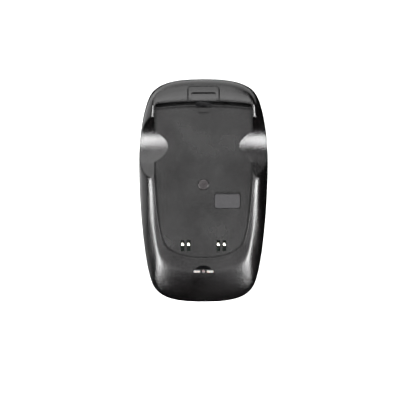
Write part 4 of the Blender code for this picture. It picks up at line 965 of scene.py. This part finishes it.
def contact_path():
    """Middle line of a contact spring in (Y, Z): carried end, riser, dome and tail."""
    carried_z = 10.2 * MM
    dome_z = span("contact_spring_1", 2)[1] - 0.125 * MM
    dome_y = CONTACT_Y + 0.6 * MM
    riser_y = CONTACT_Y + 2.1 * MM
    radius = 1.3 * MM
    bend = ((5.2, 0), (1.4, 0), (0.9, 0.15), (0.5, 0.6), (0.3, 2.0))     # mm from the riser's foot
    path = [(riser_y + y * MM, carried_z + z * MM) for y, z in bend]
    path.append((dome_y + radius, dome_z - radius - 0.8 * MM))
    for i in range(15):
        angle = math.radians(-5 + 170 * i / 14)
        path.append((dome_y + radius * math.cos(angle), dome_z - radius + radius * math.sin(angle)))
    path.append((dome_y - radius - 0.15 * MM, dome_z - 1.9 * MM))
    path.append((dome_y - radius - 0.3 * MM, PLATE_BOTTOM + 0.3 * MM))
    return [Vector(p) for p in path]


def contact_width(share):
    """Half the strip's width along its length: slim riser, full dome, narrower tail."""
    slim = 0.22 * MM
    full = 0.66 * MM
    if share < 0.45:
        return full - (full - slim) * smooth_step(share / 0.45)
    if share < 0.75:
        return slim + (full - slim) * smooth_step((share - 0.45) / 0.3)
    return full - (full - slim) * 0.5 * smooth_step((share - 0.75) / 0.25)


def build_contacts(material):
    path = contact_path()
    lengths = [0.0]
    for a, b in zip(path, path[1:]):
        lengths.append(lengths[-1] + (b - a).length)
    half_strip = 0.125 * MM
    for node, x in zip(CONTACT_NODES, CONTACT_XS):
        rings = []
        for i, point in enumerate(path):
            along = (path[min(i + 1, len(path) - 1)] - path[max(i - 1, 0)]).normalized()
            across = Vector((-along.y, along.x))
            half = contact_width(lengths[i] / lengths[-1])
            ring = []
            for step in range(12):
                angle = 4 * QUARTER * step / 12
                side = max(min(1.5 * math.cos(angle), 1), -1)
                thick = max(min(1.5 * math.sin(angle), 1), -1)
                crowned = half_strip * thick - 0.12 * MM * side * side
                spot = point - across * crowned
                ring.append(Vector((x + half * side, spot.x, spot.y)))
            rings.append(ring)
        spring = lofted("leaf_" + node, rings)
        finished(spring, material, node.replace("spring_", ""), "spring_bronze", node)


# ---- indicator


def build_indicator(window_material, lamp_material, centre_material):
    low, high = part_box("status_window")
    window = prism("window_lens", window_outline(0), low.z, high.z)
    cut(window, slope_cutter("window_slope", low, high, high.y, high.z, 1.6 * MM))
    finished(soften(window, 0.15 * MM, 3), window_material, "cradle", "smooth_black", "status_window")
    for side, node in ((-1, "lamp_bar_left"), (1, "lamp_bar_right")):
        low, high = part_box(node)
        bar = prism("guide_" + node, lamp_outline(side, 0), low.z, high.z + 0.12 * MM)
        finished(soften(bar, 0.2 * MM, 3), lamp_material, "cradle", "clear_lamp", node)
    low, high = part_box("status_lamp")
    radius = (high.x - low.x) / 2
    dome = 0.5 * MM
    profile = shoulder(0, high.z - dome, radius, dome, 6)
    profile += [(radius, low.z), (0, low.z)]
    lamp = turned("centre_lamp", profile, (0, LAMP_Y), 40)
    finished(lamp, centre_material, "cradle", "amber_lamp", "status_lamp")


# ---- fasteners and underside


def build_screw(node, up, material):
    """A pan-head screw with a cross recess, over the CAD screw's head and shank."""
    low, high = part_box(node)
    x, y = middle(node)
    head_radius = (high.x - low.x) / 2
    crown_z, shank_z = (high.z, low.z) if up else (low.z, high.z)
    sign = 1 if up else -1
    thickness = head_radius * 0.68
    shank = head_radius * 0.46
    dome = 0.6 * thickness
    profile = shoulder(0, crown_z - sign * dome, head_radius, sign * dome, 6)
    seat = crown_z - sign * thickness
    profile += [(head_radius, seat), (shank, seat)]
    pitch = 0.45 * MM
    turns = int(abs(seat - shank_z) / pitch) - 1
    for i in range(turns):
        z = seat - sign * (i + 0.7) * pitch
        profile += [(shank * 0.84, z), (shank, z - sign * pitch / 2)]
    profile.append((0, shank_z))
    screw = turned("made_" + node, profile, (x, y), 40)
    arm = head_radius * 0.6
    recess = crown_z - sign * 0.8 * MM
    for dx, dy in ((arm, 0.25 * MM), (0.25 * MM, arm)):
        slot = block("recess", (x - dx, y - dy, min(recess, crown_z + sign * MM)),
                     (x + dx, y + dy, max(recess, crown_z + sign * MM)))
        cut(screw, slot)
    finished(screw, material, "cradle", "steel", node)


def build_fasteners(material):
    for i in range(1, 5):
        build_screw(f"housing_screw_{i}", False, material)
    for i in (1, 2):
        build_screw(f"board_screw_{i}", True, material)
        build_screw(f"retainer_screw_{i}", False, material)
    build_screw("plate_screw", True, material)


def build_feet(material):
    for i in range(1, 5):
        low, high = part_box(f"rubber_foot_{i}")
        radius = (high.x - low.x) / 2
        edge = 0.5 * MM
        profile = [(0, high.z), (radius, high.z)]
        profile += reversed(shoulder(radius - edge, low.z + edge, edge, -edge, 5))
        dish_z = low.z + 0.15 * MM
        profile += [(radius * 0.72, low.z), (radius * 0.68, dish_z), (0, dish_z)]
        foot = turned(f"foot_pad_{i}", profile, middle(f"rubber_foot_{i}"))
        finished(foot, material, "cradle", "rubber", f"rubber_foot_{i}")


def build_label(material):
    low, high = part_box("rating_plate")
    label = prism("label_blank", label_outline(0), low.z, high.z)
    finished(soften(label, 0.08 * MM, 2), material, "cradle", "label", "rating_plate")


def build_inlet(body_material, pin_material):
    low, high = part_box("dc_inlet")
    axis_z = (low.z + high.z) / 2
    body_rear = HALF_LENGTH - 3.4 * MM
    socket = block("inlet_body", (low.x, low.y, low.z), (high.x, body_rear, high.z))
    soften(socket, 0.3 * MM, 2)
    barrel = rod("barrel", (0, body_rear - MM, axis_z), (0, high.y, axis_z), 2.4 * MM, 64)
    unite(socket, barrel)
    bore = rod("bore", (0, body_rear - 6.5 * MM, axis_z), (0, high.y + MM, axis_z), 1.9 * MM, 64)
    cut(socket, bore)
    soften(socket, 0.12 * MM, 2, 60)
    finished(socket, body_material, "cradle", "smooth_black", "dc_inlet")
    low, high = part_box("dc_inlet_pin")
    pin = rod("inlet_pin", (0, low.y, axis_z), (0, high.y, axis_z), (high.x - low.x) / 2, 32)
    soften(pin, 0.25 * MM, 4, 50)
    finished(pin, pin_material, "cradle", "steel", "dc_inlet_pin")


# ---- settings


def watts(name, description, default):
    """A light's power as a setting."""
    return bpy.props.FloatProperty(name=name, description=description, default=default,
                                   unit="POWER")


class CradleFinishSettings(bpy.types.PropertyGroup):
    housing_colour: bpy.props.StringProperty(
        name="Housing colour", description="sRGB hex of the moulded housing", default="020202")
    plate_colour: bpy.props.StringProperty(
        name="Plate colour", description="sRGB hex of the pocket plate", default="050505")
    speck_colour: bpy.props.StringProperty(
        name="Speck colour", description="sRGB hex of the grain's specks", default="141112")
    roughness: bpy.props.FloatProperty(
        name="Roughness", description="Roughness of the spark grain", default=0.2,
        min=0.0, max=1.0, subtype="FACTOR")
    grain_height: bpy.props.FloatProperty(
        name="Grain height", description="Depth of the moulded grain", default=0.085 * MM,
        unit="LENGTH", precision=6)


class CradleStageSettings(bpy.types.PropertyGroup):
    camera_height: bpy.props.FloatProperty(
        name="Camera height", description="Camera above the table", default=0.9, unit="LENGTH")
    view_width: bpy.props.FloatProperty(
        name="View width", description="Width of table seen", default=0.218, unit="LENGTH")
    key_power: watts("Key lights", "Power of the two key softboxes", 12.5)
    table_power: watts("Table light", "Power of the light that evens out the table", 7.0)
    overhead_power: watts("Overhead card", "Power of the card overhead", 2.0)
    back_power: watts("Back card", "Power of each card beyond the latch end", 11.0)
    side_power: watts("Side cards", "Power of the dim cards beside the overhead card", 1.6)
    bounce_power: watts("Bounce cards", "Power of the cards that lie left of and behind the cradle", 0.4)
    left_power: watts("Left card", "Power of the low card on the left", 1.6)
    fill: bpy.props.FloatProperty(
        name="Fill", description="Brightness of the surrounding room", default=0.004)


# ---- operators


def housing_material(context):
    """The housing's moulded ABS, made once and shared."""
    made = bpy.data.materials.get("moulded_abs_housing")
    if made:
        return made
    looks = context.scene.cradle_finish
    return moulded_abs("moulded_abs_housing", looks.housing_colour, looks.speck_colour,
                       looks.roughness, looks.grain_height)


def steel_material():
    made = bpy.data.materials.get("zinc_plated_steel")
    return made or plated_metal("zinc_plated_steel", "B4B6B8", 0.28)


class CRADLE_OT_top_housing(bpy.types.Operator):
    """Builds the rounded top housing with its rails, rim and finger scoops"""
    bl_idname = "cradle.top_housing"
    bl_label = "Top housing"

    def execute(self, context):
        build_top_housing(housing_material(context))
        return {"FINISHED"}


class CRADLE_OT_base_housing(bpy.types.Operator):
    """Builds the lower shell"""
    bl_idname = "cradle.base_housing"
    bl_label = "Base housing"

    def execute(self, context):
        build_base_housing(housing_material(context))
        return {"FINISHED"}


class CRADLE_OT_pocket_plate(bpy.types.Operator):
    """Builds the pocket plate, its screw cap and its service cover"""
    bl_idname = "cradle.pocket_plate"
    bl_label = "Pocket plate"

    def execute(self, context):
        looks = context.scene.cradle_finish
        plate = moulded_abs("moulded_abs_plate", looks.plate_colour, looks.speck_colour,
                            looks.roughness + 0.04, looks.grain_height * 0.8)
        build_pocket_plate(plate)
        cap = moulded_abs("moulded_abs_cap", "1C1819", looks.speck_colour,
                          looks.roughness, looks.grain_height * 0.6)
        build_screw_cap(cap)
        build_service_cover(silicone_rubber("silicone_rubber_plug", "171618"))
        return {"FINISHED"}


class CRADLE_OT_latch(bpy.types.Operator):
    """Builds the release button, the hooked bolt and its spring, and paints the retainer"""
    bl_idname = "cradle.latch"
    bl_label = "Latch"

    def execute(self, context):
        build_release_button(housing_material(context))
        acetal = smooth_abs("moulded_acetal", "030304", 0.16)
        build_latch_bolt(acetal)
        repaint(["latch_retainer"], acetal)
        build_latch_spring(plated_metal("spring_steel_wire", "A8AAAC", 0.22))
        return {"FINISHED"}


class CRADLE_OT_contacts(bpy.types.Operator):
    """Builds the four leaf contacts and paints their carriers"""
    bl_idname = "cradle.contacts"
    bl_label = "Contacts"

    def execute(self, context):
        build_contacts(plated_metal("nickel_plated_bronze", "F0ECE2", 0.2, 0.4 * MM, (4, 1, 1)))
        carrier = smooth_abs("moulded_nylon", "18181A", 0.45)
        repaint(["contact_block_left", "contact_block_right", "service_connector"], carrier)
        return {"FINISHED"}


class CRADLE_OT_indicator(bpy.types.Operator):
    """Builds the status window and its lamps"""
    bl_idname = "cradle.indicator"
    bl_label = "Indicator"

    def execute(self, context):
        build_indicator(smooth_abs("polished_polycarbonate", "040405", 0.12),
                        clear_acrylic("milky_acrylic", "8F8C88", 0.0),
                        clear_acrylic("rose_acrylic", "5C5354", 0.0))
        lamp = clear_acrylic("led_epoxy", "E6E4DE", 0.0)
        repaint(["led_left", "led_right", "status_led"], lamp)
        return {"FINISHED"}


class CRADLE_OT_electronics(bpy.types.Operator):
    """Paints the circuit board and its components and builds the power inlet"""
    bl_idname = "cradle.electronics"
    bl_label = "Electronics"

    def execute(self, context):
        repaint(["circuit_board"], solder_mask("dark_solder_mask_painted_shade"))
        repaint(["charger_chip", "power_inductor"], smooth_abs("moulded_epoxy", "1A1A1C", 0.5))
        repaint(["capacitor_1", "capacitor_2"],
                plated_metal("drawn_aluminium_can", "C4C6C8", 0.3, 0.3 * MM, (1, 1, 6)))
        build_inlet(smooth_abs("moulded_pbt", "101011", 0.35), steel_material())
        return {"FINISHED"}


class CRADLE_OT_underside(bpy.types.Operator):
    """Builds the screws, the rubber feet and the blank rating plate"""
    bl_idname = "cradle.underside"
    bl_label = "Screws and feet"

    def execute(self, context):
        build_fasteners(steel_material())
        build_feet(silicone_rubber("moulded_rubber_feet", "262628"))
        build_label(label_film("polyester_label_film"))
        return {"FINISHED"}


def softbox(name, direction, distance, size, power):
    """A soft rectangular light that faces the cradle from a direction."""
    light = bpy.data.lights.new(name, "AREA")
    light.shape = "RECTANGLE"
    light.size, light.size_y = size
    light.energy = power
    obj = new_object(name, light)
    place = Vector(direction).normalized() * distance
    obj.location = place
    obj.rotation_euler = place.to_track_quat("Z", "Y").to_euler()
    return obj


def lay_floor():
    floor = prism("floor", rounded_box(6.0, 6.0, 0.5, (0, 0)), -0.01, 0.0)
    floor.data.materials.append(painted_floor("matt_white_paint", "F4F4F4"))
    floor.visible_glossy = False


def bounce_card(x, y, power):
    """A card that lies on the table and only shows in the housing's sides."""
    card = softbox("bounce_card", (0, 0, 1), 0.0, (0.3, 0.3), power)
    card.location = (x, y, 0.2 * MM)
    card.rotation_euler = (2 * QUARTER, 0, 0)
    card.visible_camera = False
    card.visible_diffuse = False


def hang_lights(stage):
    for side in (-1, 1):
        softbox("key_softbox", (side * 0.57, -0.20, 0.79), 0.95, (0.50, 0.30), stage.key_power)
        softbox("side_card", (side * 0.30, -0.24, 0.92), 1.0, (0.35, 0.45), stage.side_power)
    softbox("overhead_card", (-0.05, 0.26, 0.96), 1.1, (0.9, 0.72), stage.overhead_power)
    softbox("high_back_card", (-0.10, 0.52, 0.85), 1.2, (1.4, 0.83), stage.back_power)
    softbox("back_card", (-0.25, 0.88, 0.36), 1.3, (1.5, 0.95), stage.back_power)
    bounce_card(-0.19, -0.01, stage.bounce_power)
    bounce_card(-0.02, 0.22, stage.bounce_power)
    softbox("left_card", (-0.97, 0.05, 0.14), 1.0, (0.9, 0.45), stage.left_power)
    fill = softbox("table_fill", (0, 0, 1), 1.2, (1.0, 1.0), stage.table_power)
    fill.visible_glossy = False


def light_room(scene, strength):
    world = bpy.data.worlds.new("studio_room")
    scene.world = world
    world.use_nodes = True
    backdrop = world.node_tree.nodes["Background"]
    backdrop.inputs["Color"].default_value = (1, 1, 1, 1)
    backdrop.inputs["Strength"].default_value = strength


def set_camera(scene, height, view_width):
    """A camera that looks straight down and sees view_width of the plate's level."""
    camera = bpy.data.cameras.new("camera")
    camera.sensor_width = 36.0
    camera.lens = camera.sensor_width * (height - PLATE_TOP) / view_width
    camera.clip_start = 0.01
    view = new_object("camera", camera)
    view.location = (-1.9 * MM, -5.2 * MM, height)
    scene.camera = view


class CRADLE_OT_stage(bpy.types.Operator):
    """Sets the pale floor, the studio lights and the camera that looks straight down"""
    bl_idname = "cradle.stage"
    bl_label = "Stage"

    def execute(self, context):
        stage = context.scene.cradle_stage
        lay_floor()
        hang_lights(stage)
        light_room(context.scene, stage.fill)
        set_camera(context.scene, stage.camera_height, stage.view_width)
        context.scene.view_settings.view_transform = "Standard"
        return {"FINISHED"}


STEPS = (
    CRADLE_OT_stage, CRADLE_OT_top_housing, CRADLE_OT_base_housing, CRADLE_OT_pocket_plate,
    CRADLE_OT_latch, CRADLE_OT_contacts, CRADLE_OT_indicator, CRADLE_OT_electronics,
    CRADLE_OT_underside,
)


class CRADLE_PT_panel(bpy.types.Panel):
    """Lists the cradle's settings and the steps that build it"""
    bl_idname = "CRADLE_PT_panel"
    bl_label = "Charging cradle"
    bl_space_type = "VIEW_3D"
    bl_region_type = "UI"
    bl_category = "Cradle"

    def draw(self, context):
        column = self.layout.column()
        for settings in (context.scene.cradle_finish, context.scene.cradle_stage):
            for key in settings.bl_rna.properties.keys():
                if key not in ("rna_type", "name"):
                    column.prop(settings, key)
        for step in STEPS:
            column.operator(step.bl_idname)


CLASSES = (CradleFinishSettings, CradleStageSettings, *STEPS, CRADLE_PT_panel)


def register():
    for item in CLASSES:
        bpy.utils.register_class(item)
    bpy.types.Scene.cradle_finish = bpy.props.PointerProperty(type=CradleFinishSettings)
    bpy.types.Scene.cradle_stage = bpy.props.PointerProperty(type=CradleStageSettings)


def unregister():
    del bpy.types.Scene.cradle_stage
    del bpy.types.Scene.cradle_finish
    for item in reversed(CLASSES):
        bpy.utils.unregister_class(item)


def main():
    register()
    for step in STEPS:
        group, name = step.bl_idname.split(".")
        getattr(getattr(bpy.ops, group), name)()


if __name__ == "__main__":
    main()
